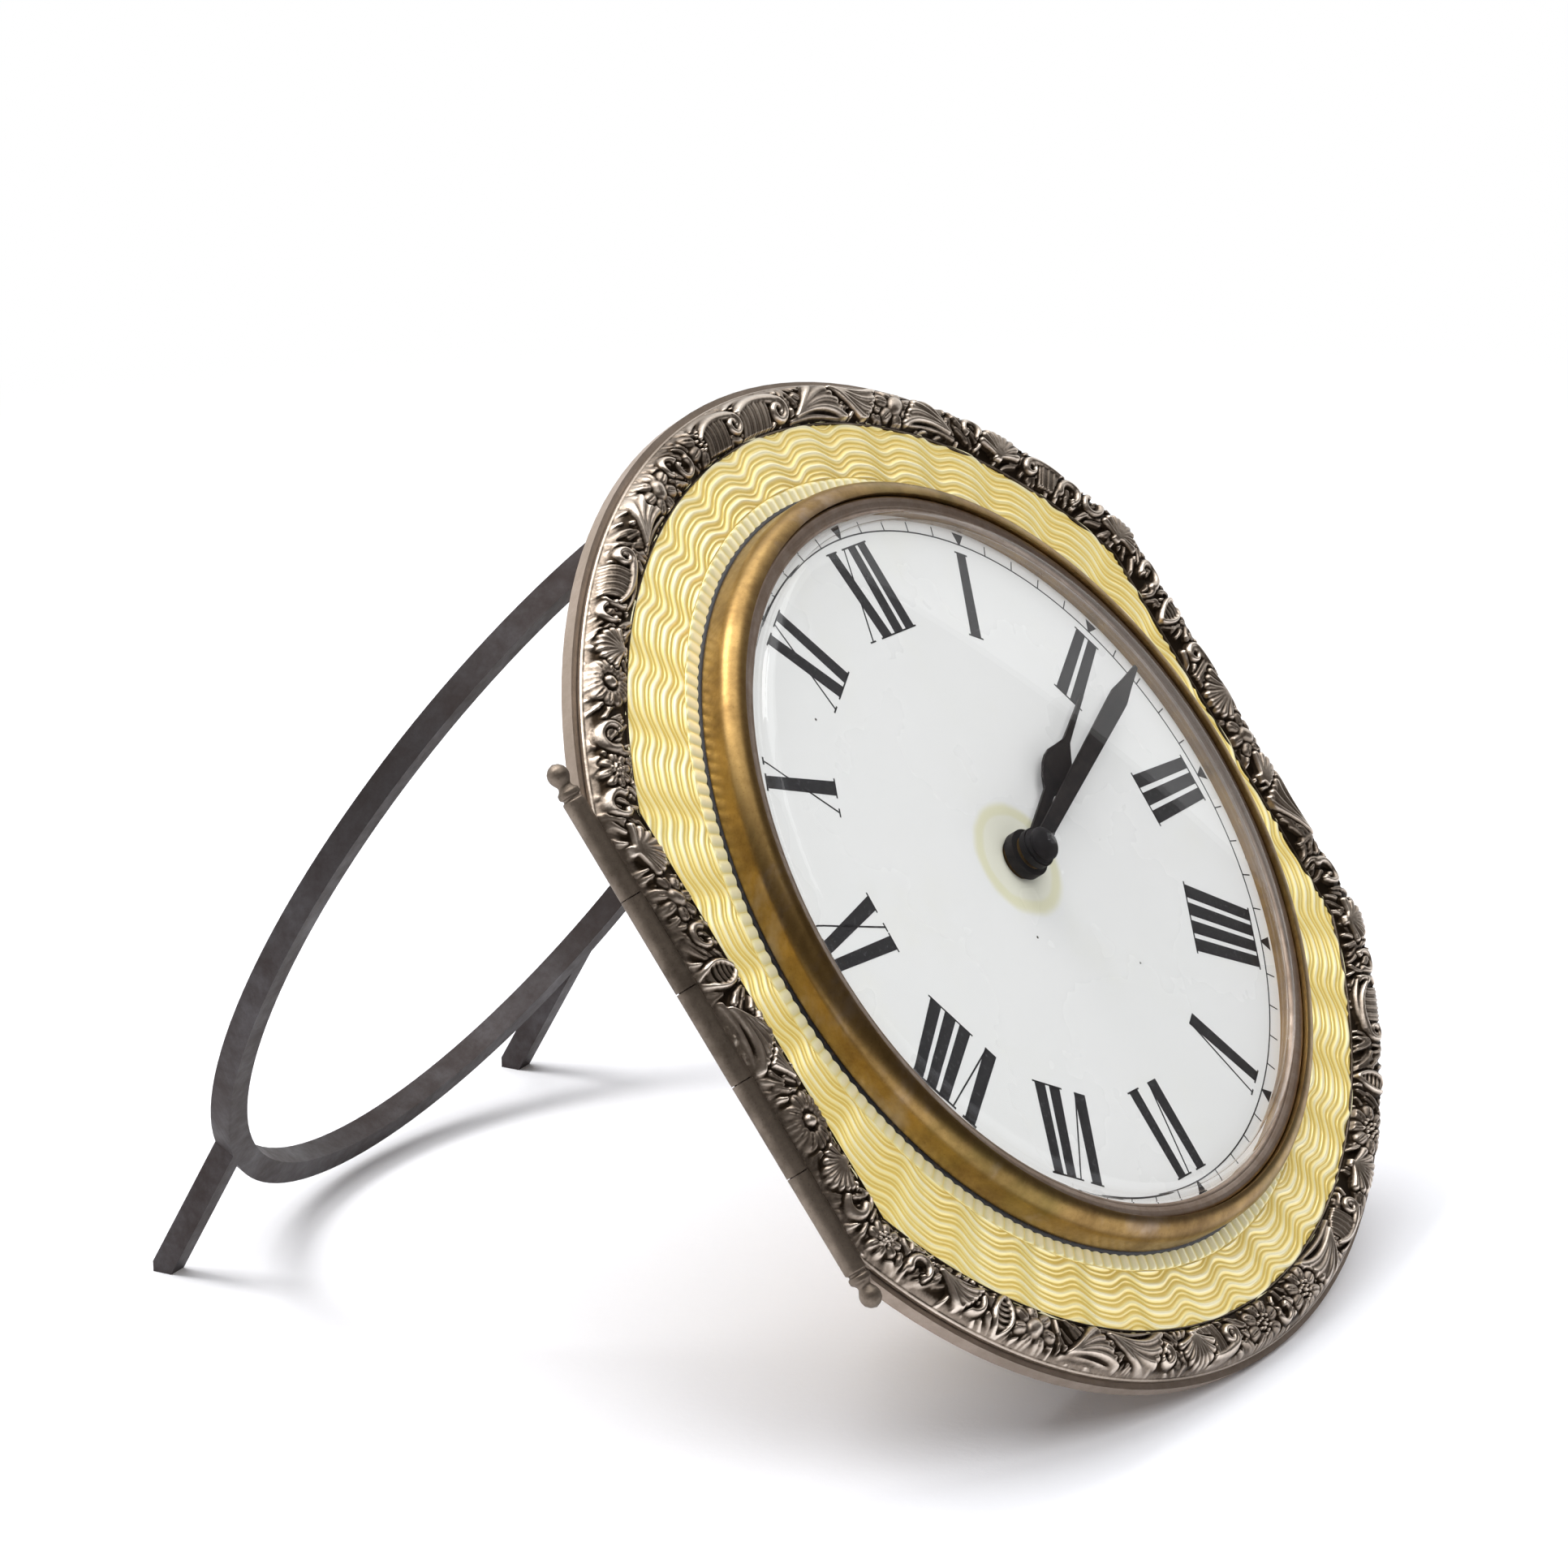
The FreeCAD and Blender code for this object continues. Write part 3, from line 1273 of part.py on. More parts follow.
def barrel_cover():
    top = size("barrel_top")
    lid = top - size("barrel_cover_thick")
    disc = rod(size("barrel_shell") - size("barrel_wall") / 2, lid, top)
    bore = rod(size("barrel_arbor") + size("running_gap"), lid, top)
    feature("barrel_cover", disc.cut(bore), at(DIAL, *BARREL))


def mainspring():
    """The wound spring's coils, drawn as the ring that they fill."""
    low = size("barrel_tooth_low") + size("barrel_wall") + size("running_gap")
    high = size("barrel_top") - size("barrel_cover_thick") - size("running_gap")
    outer = size("barrel_shell") - size("barrel_wall")
    ring = rod(outer, low, high).cut(rod(size("spring_core") + size("spring_gap"), low, high))
    feature("mainspring", ring, at(DIAL, *BARREL))


def barrel_arbor():
    low = size("barrel_tooth_low") + size("barrel_wall") + size("running_gap")
    high = size("barrel_top") - size("barrel_cover_thick") - size("running_gap")
    core = rod(size("spring_core"), low, high)
    bar = rod(size("barrel_arbor"), size("key_hub_end") + size("key_hub"), size("front_plate_top"))
    feature("barrel_arbor", bar.fuse(core).removeSplitter(), at(DIAL, *BARREL))


def ratchet_wheel():
    low = size("ratchet_low")
    high = size("ratchet_high")
    face = saw_face(RATCHET_TEETH, size("ratchet_radius"), size("ratchet_root"))
    face.translate(FreeCAD.Vector(0, 0, low))
    wheel = face.extrude(FreeCAD.Vector(0, 0, high - low))
    feature("ratchet_wheel", wheel.cut(rod(size("barrel_arbor"), low, high)), at(DIAL, *BARREL))


def winding_key():
    """A hub with two flat wings."""
    hub = cylinder("key_hub_bar", "key_hub", "key_hub_end", "key_high")
    socket = cylinder("key_socket", "barrel_arbor", "key_hub_end + key_hub", "key_high + overrun")
    wings = block("key_wings", ("-key_half_width", "-key_thick / 2", "key_low"),
                  ("2 * key_half_width", "key_thick", "key_hub_end - key_low + key_hub / 2"))
    document.recompute()
    edges = []
    for number, edge in enumerate(wings.Shape.Edges, start=1):
        box = edge.BoundBox
        if near(box.XLength, 0) and near(box.ZLength, 0):
            edges.append((number, size("key_round"), size("key_round")))
    rounded = document.addObject("Part::Fillet", "key_rounded")
    rounded.Base = wings
    rounded.Edges = edges
    finish(cut("winding_key_cut", joined("key_blank", [hub, rounded]), [socket]), "winding_key",
           at(DIAL, *BARREL))


def set_knob():
    body = turned("set_knob", [
        ("centre_arbor", "set_knob_low"),
        ("set_knob_radius", "set_knob_low"),
        ("set_knob_radius", "set_knob_high"),
        ("centre_arbor", "set_knob_high"),
    ])
    rounded_rims(body, "set_knob", "set_knob_round",
                 [("set_knob_radius", "set_knob_low"), ("set_knob_radius", "set_knob_high")])
    finish(body, "set_knob", DIAL)


def click_place():
    """The click's stud, beside the ratchet wheel."""
    reach = size("ratchet_radius") + size("click_gap") + size("click_width") / 2
    start = polar(BARREL, reach, -RIGHT_ANGLE)
    return polar(start, size("click_length"), 0)


def click():
    """A pawl that lies along the ratchet wheel's rim on its stud."""
    low = size("ratchet_low")
    high = size("ratchet_high")
    width = size("click_width")
    shape = rod(width, low, high)
    arm = Part.makeBox(size("click_length"), width, high - low,
                       FreeCAD.Vector(-size("click_length"), -width / 2, low))
    stud = rod(size("click_stud") - 2 * size("running_gap"), size("back_plate_back") - size("panel_gap"),
               size("back_plate_front"))
    shape = shape.fuse(arm).fuse(rod(size("click_stud") - 2 * size("running_gap"), high, stud.BoundBox.ZMax))
    room = rod(size("ratchet_radius") + size("click_gap") / 2, low, high)
    stud_x, stud_y = click_place()
    room.translate(FreeCAD.Vector(BARREL[0] - stud_x, BARREL[1] - stud_y, 0))
    feature("click", shape.cut(room).removeSplitter(), at(DIAL, *click_place()))


def click_spring():
    """A thin blade that bears on the click's back."""
    thick = size("click_spring_thick")
    low = size("ratchet_low")
    high = size("back_plate_back")
    drop = size("click_width") + size("click_gap") + thick
    blade = Part.makeBox(size("click_spring_length"), thick, high - low,
                         FreeCAD.Vector(-size("click_length"), -drop, low))
    root = rod(2 * thick, low, high)
    root.translate(FreeCAD.Vector(size("click_spring_length") - size("click_length"), -drop + thick / 2, 0))
    feature("click_spring", blade.fuse(root).removeSplitter(), at(DIAL, *click_place()))


def regulator_lever():
    """A tail on a split ring about the balance pivot, with a pin that reaches through the cover."""
    low = size("regulator_low")
    high = size("regulator_high")
    width = size("regulator_width")
    tail = size("regulator_tail")
    ring = rod(size("regulator_ring"), low, high)
    bar = Part.makeBox(width, tail, high - low, FreeCAD.Vector(-width / 2, 0, low))
    pin = rod(size("regulator_pin"), size("regulator_pin_end"), high)
    pin.translate(FreeCAD.Vector(0, tail, 0))
    shape = ring.multiFuse([bar, pin]).cut(rod(size("regulator_hub"), low, high))
    feature("regulator_lever", shape.removeSplitter(), at(DIAL, *BALANCE))


# Motion work and hands

def cannon_pinion():
    low = size("cannon_leaf_low")
    leaves = toothed_disc(CANNON_LEAVES, "cannon_module", facing(CANNON_LEAVES, size("motion_turn")),
                          "cannon_leaf_low", "cannon_leaf_high", True)
    pipe = rod(size("cannon_pipe"), low, size("cannon_top"))
    shape = leaves.fuse(pipe).cut(rod(size("centre_arbor"), low, size("cannon_top")))
    feature("cannon_pinion", shape.removeSplitter(), DIAL)


def minute_wheel():
    wheel = toothed_disc(MINUTE_TEETH, "cannon_module", size("motion_turn") + 2 * RIGHT_ANGLE,
                         "minute_wheel_low", "minute_wheel_high")
    turn = facing(MINUTE_LEAVES, size("motion_turn") + 2 * RIGHT_ANGLE)
    leaves = toothed_disc(MINUTE_LEAVES, "hour_module", turn,
                          "minute_wheel_high", "minute_leaf_high", True)
    bore = rod(size("stud_radius") + size("running_gap"), size("minute_wheel_low"), size("minute_leaf_high"))
    feature("minute_wheel", wheel.fuse(leaves).cut(bore).removeSplitter(), at(DIAL, *MOTION))


def minute_stud():
    feature("minute_stud", rod(size("stud_radius"), size("front_plate_back"), size("stud_top")),
            at(DIAL, *MOTION))


def hour_wheel():
    low = size("hour_wheel_low")
    wheel = toothed_disc(HOUR_TEETH, "hour_module", size("motion_turn"), "hour_wheel_low", "hour_wheel_high")
    pipe = rod(size("hour_pipe"), low, size("hour_top"))
    bore = rod(size("cannon_pipe") + size("running_gap"), low, size("hour_top"))
    feature("hour_wheel", wheel.fuse(pipe).cut(bore).removeSplitter(), DIAL)


def mirrored(half):
    """A hand's outline from the corners of its right side, root first."""
    left = [("-(%s)" % across, along) for across, along in reversed(half)]
    return half + left


# Shares of the hour hand's bulb: of its half width, or of its spike's, and of how far out it sits
HOUR_NECK_SHARE = 0.70
HOUR_BULB_SHARES = ((0.72, 0.80), (0.97, 0.92), (1.0, 1.0), (0.90, 1.09), (0.58, 1.19))
HOUR_SPIKE_SHARES = ((1.25, 1.31), (1.0, 1.45))
# Shares of the minute hand: where its bar starts to run straight, and the step on its tip
MINUTE_BAR_SHARE = 0.93
MINUTE_STEP_SHARES = (0.62, 0.42)


def hour_hand():
    """A thin neck, a pear-shaped bulb with hollow shoulders and a long spike."""
    corners = [("hour_neck_half", "0"), ("hour_neck_half", "hour_bulb * %s" % HOUR_NECK_SHARE)]
    for half, shares in (("hour_bulb_half", HOUR_BULB_SHARES), ("hour_spike_half", HOUR_SPIKE_SHARES)):
        corners += [("%s * %s" % (half, wide), "hour_bulb * %s" % far) for wide, far in shares]
    corners.append(("hour_spike_half / 2", "hour_tip"))
    blade = padded("hour_blade", mirrored(corners), "hour_hand_low", "hour_hand_high")
    hub = cylinder("hour_hub_disc", "hour_hub", "hour_hub_low", "hour_hand_high")
    bore = cylinder("hour_hub_bore", "hour_pipe", "hour_hub_low", "hour_hand_high")
    hand = cut("hour_hand_cut", joined("hour_hand_blank", [blade, hub]), [bore])
    finish(hand, "hour_hand", turned_by(DIAL, -size("hour_angle")))


def minute_hand():
    """A flat bar that widens to its shoulders and steps in twice to a blunt tip."""
    wide, far = MINUTE_STEP_SHARES
    blade = padded("minute_blade", mirrored([
        ("minute_root_half", "0"),
        ("minute_half", "minute_shoulder * %s" % MINUTE_BAR_SHARE),
        ("minute_half", "minute_shoulder"),
        ("minute_half * %s" % wide, "minute_shoulder + (minute_tip - minute_shoulder) * %s" % far),
        ("minute_tip_half", "minute_tip"),
    ]), "minute_hand_low", "minute_hand_high")
    hub = cylinder("minute_hub_disc", "minute_hub", "minute_hub_low", "minute_hand_high")
    bore = cylinder("minute_hub_bore", "cannon_pipe", "minute_hub_low", "minute_hand_high")
    hand = cut("minute_hand_cut", joined("minute_hand_blank", [blade, hub]), [bore])
    finish(hand, "minute_hand", turned_by(DIAL, -size("minute_angle")))


def hand_cap():
    body = turned("hand_cap", [
        ("centre_arbor", "minute_hand_high"),
        ("cap_radius", "minute_hand_high"),
        ("cap_radius", "cap_top"),
        ("0", "cap_top"),
        ("0", "arbor_top"),
        ("centre_arbor", "arbor_top"),
    ])
    rounded_rims(body, "hand_cap", "cap_round", [("cap_radius", "cap_top")])
    finish(body, "hand_cap", DIAL)


MAKERS = [
    rear_frame, border_frame, enamel_panel, hinge_pin, hinge_finials, strut_hoop, strut_bracket, strut_pin,
    bracket_rivets, bezel, glass_ring, glass, rehaut, dial, dial_feet, drum, back_cover, front_plate,
    back_plate, plate_pillars, plate_screws, centre_arbor, centre_wheel, third_wheel, fourth_wheel,
    escape_wheel, pallet_lever, balance_wheel, hairspring, mainspring_barrel, barrel_cover, mainspring, barrel_arbor,
    ratchet_wheel, winding_key, set_knob, click, click_spring, regulator_lever, cannon_pinion, minute_wheel,
    minute_stud, hour_wheel, hour_hand, minute_hand, hand_cap,
]
for maker in MAKERS:
    maker()
hinge_tubes("rear_hinge_tubes", 0)
hinge_tubes("door_hinge_tubes", 1)
document.recompute()

# Nothing goes on unless every object is sound
for item in document.Objects:
    if "Invalid" in item.State or "Error" in item.State:
        raise RuntimeError("%s failed: %s" % (item.Name, item.State))
for label, thing in finished.items():
    if thing.Shape.isNull() or not thing.Shape.isValid() or not thing.Shape.Solids:
        raise RuntimeError("%s has no sound solid" % label)

# Stand the clock with the middle of its box over the origin
whole_box = FreeCAD.BoundBox()
for thing in finished.values():
    whole_box.add(thing.Shape.optimalBoundingBox(False))
shift = FreeCAD.Vector(-whole_box.Center.x, -whole_box.Center.y, 0)
for thing in finished.values():
    thing.Placement = FreeCAD.Placement(shift, FreeCAD.Rotation()).multiply(thing.Placement)
document.recompute()

os.makedirs("parts", exist_ok=True)
for label, thing in finished.items():
    thing.Shape.exportStep("parts/%s.step" % label)

print("sub-parts", len(finished), "box", whole_box.XLength, whole_box.YLength, whole_box.ZLength)
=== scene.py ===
import functools
import itertools
import json
import math

import bpy
import numpy as np
from mathutils import Matrix, Vector


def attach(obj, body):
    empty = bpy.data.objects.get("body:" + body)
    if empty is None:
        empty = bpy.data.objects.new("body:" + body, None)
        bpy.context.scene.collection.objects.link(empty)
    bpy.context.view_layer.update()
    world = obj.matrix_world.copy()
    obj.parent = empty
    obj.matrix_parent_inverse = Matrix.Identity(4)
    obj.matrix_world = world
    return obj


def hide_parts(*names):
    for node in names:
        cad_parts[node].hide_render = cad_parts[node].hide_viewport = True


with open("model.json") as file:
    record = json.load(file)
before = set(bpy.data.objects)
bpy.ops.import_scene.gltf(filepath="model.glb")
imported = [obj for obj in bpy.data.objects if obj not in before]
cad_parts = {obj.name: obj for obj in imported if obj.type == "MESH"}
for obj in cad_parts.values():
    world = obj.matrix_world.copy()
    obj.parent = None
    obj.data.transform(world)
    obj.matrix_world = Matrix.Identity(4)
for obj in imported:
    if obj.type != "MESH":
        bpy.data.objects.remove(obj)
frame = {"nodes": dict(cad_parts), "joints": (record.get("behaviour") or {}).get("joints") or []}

bl_info = {
    "name": "Desk clock looks",
    "version": (1, 0, 0),
    "blender": (4, 5, 0),
    "location": "3D View > Sidebar > Clock",
    "description": "Builds the visible surfaces of a small enamelled desk clock round its construction",
    "category": "Object",
}

MM = 0.001
FULL_TURN = 2 * math.pi
SPIN = next(joint for joint in frame["joints"] if joint["name"] == "minute_spin")
CENTRE = np.array(SPIN["pos_m"])
OUT = -np.array(SPIN["axis"])
ACROSS = np.array([1.0, 0.0, 0.0])
UP = np.cross(OUT, ACROSS)
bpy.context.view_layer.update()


# Sizes and colours

def length(name, description, millimetres):
    return bpy.props.FloatProperty(
        name=name, description=description, default=millimetres * MM, unit="LENGTH", precision=5)


def linear(code):
    """The linear colour of a six-figure display colour."""
    shares = [int(code[place:place + 2], 16) / 255 for place in (0, 2, 4)]
    return [share / 12.92 if share <= 0.04045 else ((share + 0.055) / 1.055) ** 2.4 for share in shares]


def colour(name, description, code):
    return bpy.props.FloatVectorProperty(
        name=name, description=description, subtype="COLOR", size=3, min=0, max=1, default=linear(code))


class ClockSizes(bpy.types.PropertyGroup):
    window_arc: length("Window arc", "Radius of the top and bottom of the enamel's window", 50.1)
    window_offset: length("Window offset", "How far the window's arc centres lie beyond the middle", 5.5)
    window_half: length("Window half width", "Half the width between the window's straight sides", 43.1)
    border_arc: length("Border arc", "Radius of the top and bottom of the border", 55.6)
    border_offset: length("Border offset", "How far the border's arc centres lie beyond the middle", 6.6)
    border_half: length("Border half width", "Half the width between the border's straight sides", 47.9)
    border_back: length("Border back", "Depth of the border's back edge under the dial", 2.9)
    border_field: length("Border field", "Depth of the ground between the ornaments", 1.73)
    border_relief: length("Border relief", "How far the ornaments stand out of their ground", 0.78)
    enamel_depth: length("Enamel depth", "Depth of the enamel's face under the dial", 1.7)
    panel_back: length("Panel back", "Depth of the enamelled plate's back", 2.7)
    wave_pitch: length("Wave pitch", "From one wavy line to the next", 1.33)
    wave_swing: length("Wave swing", "Half of a wave's height", 0.5)
    wave_cut: length("Wave cut", "Depth of the engine turning", 0.21)
    flute_inner: length("Flute inside", "Inside radius of the fluted ring", 37.4)
    flute_outer: length("Flute outside", "Outside radius of the fluted ring", 39.3)
    flute_cut: length("Flute cut", "Depth of the flutes", 0.12)
    bezel_foot: length("Bezel foot", "Outside radius of the bezel", 37.6)
    bezel_crest: length("Bezel crest", "Height of the bezel's crest over the dial", 2.2)
    bezel_round: length("Bezel round", "Radius of the bezel's swelling", 1.75)
    bezel_bore: length("Bezel bore", "Inside radius of the bezel", 35.0)
    ring_seat: length("Ring seat", "Outside radius of the glass's retaining ring", 35.75)
    ring_bore: length("Ring bore", "Inside radius of the retaining ring", 34.2)
    ring_low: length("Ring foot", "Height of the retaining ring's underside", 1.22)
    ring_high: length("Ring top", "Height of the retaining ring's top", 1.8)
    glass_crown: length("Glass crown", "Height of the glass at the middle", 4.8)
    glass_thick: length("Glass thickness", "Thickness of the glass", 0.7)
    glass_shoulder: length("Glass shoulder", "Radius where the glass turns down", 31.6)
    glass_rise: length("Glass shoulder height", "Height where the glass turns down", 3.35)
    glass_wall: length("Glass wall", "Radius of the glass at the ring", 34.05)
    glass_turn: length("Glass turn", "Radius of the turn from the glass's dome to its wall", 1.7)
    numeral_feet: length("Numeral feet", "Radius of the numerals' inner ends", 23.1)
    numeral_head: length("Numeral heads", "Radius of the numerals' outer ends", 32.1)
    track_radius: length("Track radius", "Radius of the minute circle", 33.0)
    tick_end: length("Tick end", "Radius of the minute ticks' outer ends", 34.05)
    paint: length("Paint", "Height of the painted figures over the dial", 0.02)
    dial_turn: bpy.props.FloatProperty(
        name="Dial turn", description="How far the dial stands turned in its case", unit="ROTATION",
        default=math.radians(3.56))
    waves: bpy.props.IntProperty(name="Waves", description="Waves round the enamel", default=36)
    flutes: bpy.props.IntProperty(name="Flutes", description="Flutes round the ring", default=195)


class ClockColours(bpy.types.PropertyGroup):
    silver: colour("Silver", "Worn silver", "E4D7C9")
    silver_grey: colour("Silver grey", "Dull silver", "94877A")
    silver_dark: colour("Silver dark", "Blackened silver", "33291F")
    brass: colour("Brass", "Clean brass", "B4945C")
    brass_dark: colour("Brass dark", "Tarnished brass", "644A29")
    brass_green: colour("Brass green", "Green tarnish on brass", "706A38")
    copper: colour("Copper", "Pinkish retaining ring", "B7A79B")
    copper_dark: colour("Copper dark", "Tarnish on the retaining ring", "85705F")
    iron: colour("Iron", "Dark iron", "616063")
    iron_dark: colour("Iron dark", "Iron with its oxide", "3F3735")
    steel: colour("Steel", "Bright steel", "B8B8B8")
    steel_dark: colour("Steel dark", "Oiled steel", "5A5A5C")
    enamel: colour("Enamel", "Enamel over the flanks", "FBE899")
    # Pale enamel over the ridges stands partly for a painted highlight.
    enamel_pale: colour("Enamel pale", "Enamel over the ridges", "FCF3C8")
    enamel_deep: colour("Enamel deep", "Enamel in the cuts", "E9CA69")
    flute_pale: colour("Flute pale", "Enamel on the fluted ring", "F5ECB6")
    dial: colour("Dial", "White of the dial", "EBE9E9")
    stain: colour("Stain", "Ring of old oil on the dial", "DDD8B4")
    ink: colour("Ink", "Black of the figures", "17161A")
    paper: colour("Paper", "Sheet under the clock", "F6F6F9")


def sizes():
    return bpy.context.scene.clock_sizes


def mm(name):
    return getattr(sizes(), name) / MM


def tint(name):
    return [*getattr(bpy.context.scene.clock_colours, name), 1.0]


# Meshes

def placed(points):
    """World places in metres of points in millimetres: across the dial, up the case and out of the dial."""
    points = np.asarray(points, float)
    return CENTRE + MM * (points[..., 0:1] * ACROSS + points[..., 1:2] * UP + points[..., 2:3] * OUT)


def angles(count):
    """Equal steps of one full turn."""
    return np.linspace(0, FULL_TURN, count, endpoint=False)[:, None]


def turned(turn, radius, height):
    """Points round the dial's axis, with angles clockwise from the top."""
    return np.stack(np.broadcast_arrays(radius * np.sin(turn), radius * np.cos(turn), height), -1)


def grid_faces(rows, columns, flip=False):
    """Four-sided faces over a grid of points that closes on itself both ways."""
    row, column = np.meshgrid(np.arange(rows), np.arange(columns), indexing="ij")
    after, beside = (row + 1) % rows, (column + 1) % columns
    faces = np.stack([row * columns + column, after * columns + column,
                      after * columns + beside, row * columns + beside], -1).reshape(-1, 4)
    return faces[:, ::-1] if flip else faces


def make_piece(name, points, faces, material, body, values=None, smooth=True):
    """A mesh object that rides a body and takes its finish from a slot."""
    mesh = bpy.data.meshes.new(name)
    places = placed(points).reshape(-1, 3)
    mesh.vertices.add(len(places))
    mesh.vertices.foreach_set("co", places.astype(np.float32).ravel())
    if isinstance(faces, np.ndarray):
        corners, starts = faces.ravel(), np.arange(0, faces.size, faces.shape[1])
    else:
        corners = np.concatenate(faces)
        starts = np.cumsum([0] + [len(face) for face in faces[:-1]])
    mesh.loops.add(len(corners))
    mesh.loops.foreach_set("vertex_index", corners.astype(np.int32))
    mesh.polygons.add(len(starts))
    mesh.polygons.foreach_set("loop_start", starts.astype(np.int32))
    mesh.polygons.foreach_set("use_smooth", np.full(len(starts), smooth))
    mesh.update(calc_edges=True)
    mesh.validate()
    for label, numbers in (values or {}).items():
        layer = mesh.attributes.new(label, "FLOAT", "POINT")
        layer.data.foreach_set("value", np.asarray(numbers, np.float32).ravel())
    mesh.materials.append(material)
    piece = bpy.data.objects.new(name, mesh)
    bpy.context.scene.collection.objects.link(piece)
    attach(piece, body)
    return piece


def grid_piece(name, points, material, body, values=None, smooth=True, flip=False):
    """A piece whose points lie in a grid that closes on itself both ways."""
    rows, columns = points.shape[:2]
    return make_piece(name, points, grid_faces(rows, columns, flip), material, body, values, smooth)


def arc(across, along, radius, first, last, steps):
    """Points on an arc, with its angles in degrees."""
    turn = np.radians(np.linspace(first, last, steps))
    return [(across + radius * math.cos(t), along + radius * math.sin(t)) for t in turn]


def softened(profile, radius, closed=True):
    """The profile with a small round at each corner."""
    made = []
    count = len(profile)
    for index, corner in enumerate(profile):
        if not closed and index in (0, count - 1):
            made.append(corner)
            continue
        here = np.array(corner)
        back, onward = (np.array(profile[(index + way) % count]) - here for way in (-1, 1))
        back_length, onward_length = np.linalg.norm(back), np.linalg.norm(onward)
        reach = min(radius, 0.4 * back_length, 0.4 * onward_length)
        start, end = here + back / back_length * reach, here + onward / onward_length * reach
        for share in (0.0, 0.33, 0.67, 1.0):
            made.append(tuple((1 - share) ** 2 * start + 2 * share * (1 - share) * here + share ** 2 * end))
    return made


def lathe(name, profile, material, body, steps=720, wobble=0.0):
    """A turned piece about the dial's axis. Its profile runs up the outside, over and down the inside."""
    turn = angles(steps)
    radius, height = np.array(profile).T
    lift = wobble * (np.sin(3 * turn + 1) + 0.6 * np.sin(7 * turn) + 0.4 * np.sin(19 * turn + height * 2))
    return grid_piece(name, turned(turn, radius + lift, height), material, body, flip=True)


# Shared effects

WHITE, BLACK = (1, 1, 1, 1), (0, 0, 0, 1)


class Net:
    """A node tree, with the few kinds of node that effects are made of."""

    def __init__(self, tree):
        self.tree = tree

    def node(self, kind, links=None, **settings):
        """A node with its settings, its input values and its incoming links."""
        made = self.tree.nodes.new("ShaderNode" + kind)
        for name, value in settings.items():
            setattr(made, name, value)
        for socket, value in (links or {}).items():
            if isinstance(value, bpy.types.NodeSocket):
                self.tree.links.new(value, made.inputs[socket])
            else:
                made.inputs[socket].default_value = value
        return made

    def found(self, kind):
        return next(item for item in self.tree.nodes if item.bl_idname == "ShaderNode" + kind)

    @functools.cached_property
    def place(self):
        return self.node("TexCoord").outputs["Object"]

    def measured(self, name):
        """A value that the piece's own points carry."""
        return self.node("Attribute", attribute_name=name).outputs["Fac"]

    def noise(self, scale, detail, rough, stretch=None):
        place = self.place
        if stretch:
            place = self.node("Mapping", {"Vector": place, "Scale": stretch}).outputs[0]
        return self.node("TexNoise", {"Vector": place, "Scale": scale, "Detail": detail,
                                      "Roughness": rough}).outputs["Fac"]

    def far(self, middle):
        return self.node("VectorMath", {0: self.place, 1: middle}, operation="DISTANCE").outputs["Value"]

    def sums(self, operation, first, second=0.0, third=0.0):
        return self.node("Math", {0: first, 1: second, 2: third}, operation=operation).outputs[0]

    def scaled(self, value, factor, base=0.0):
        return self.sums("MULTIPLY_ADD", value, factor, base)

    def varied(self, value, pattern, amount):
        """The value, raised and lowered by a pattern whose middle is a half."""
        return self.scaled(self.sums("SUBTRACT", pattern, 0.5), amount, value)

    def ramp(self, value, low, high, start=0.0, end=1.0):
        return self.node("MapRange", {"Value": value, "From Min": low, "From Max": high, "To Min": start,
                                      "To Max": end}, interpolation_type="SMOOTHSTEP").outputs[0]

    def mixed(self, share, first, second):
        return self.node("Mix", {0: share, 6: first, 7: second}, data_type="RGBA").outputs[2]


def aged_metal(net, given):
    """Metal with blotches of tarnish, rubbed spots, fine scratches and grain."""
    small = net.noise(620.0, 6.0, 0.7)
    scratches = net.noise(260.0, 5.0, 0.6, (1.0, 9.0, 1.0))
    grain = net.noise(4200.0, 3.0, 0.7)
    blotch = net.scaled(small, 0.45, net.scaled(net.noise(95.0, 8.0, 0.62), 0.75))
    level = net.sums("SUBTRACT", 1.0, given["Amount"])
    mask = net.ramp(net.sums("SUBTRACT", blotch, level), -0.34, 0.4)
    tone = net.mixed(mask, given["Clean"], given["Tarnish"])
    tone = net.mixed(net.scaled(net.ramp(grain, 0.56, 0.72), 0.35), tone, given["Tarnish"])
    rough = net.scaled(scratches, 0.16, net.scaled(mask, 0.28, given["Shine"]))
    high = net.scaled(scratches, 0.5, net.sums("MULTIPLY", grain, given["Grain"]))
    return tone, rough, net.scaled(small, 0.9, high)


def carved_metal(net, given):
    """Silver with black in the hollows and rubbed crests, by the piece's own blackening-and-shade values. The
    black in the hollows is partly real blackening and partly painted shade.
    """
    grain = net.noise(2600.0, 4.0, 0.7)
    level = net.varied(net.measured("blackening_and_shade"), net.noise(110.0, 6.0, 0.6), 0.5)
    level = net.varied(level, grain, 0.25)
    tone = net.mixed(net.ramp(level, 0.2, 0.55), given["Hollow"], given["Flank"])
    tone = net.mixed(net.ramp(level, 0.48, 0.9), tone, given["Crest"])
    return tone, net.scaled(net.ramp(level, 0.15, 0.8), -0.26, 0.56), grain


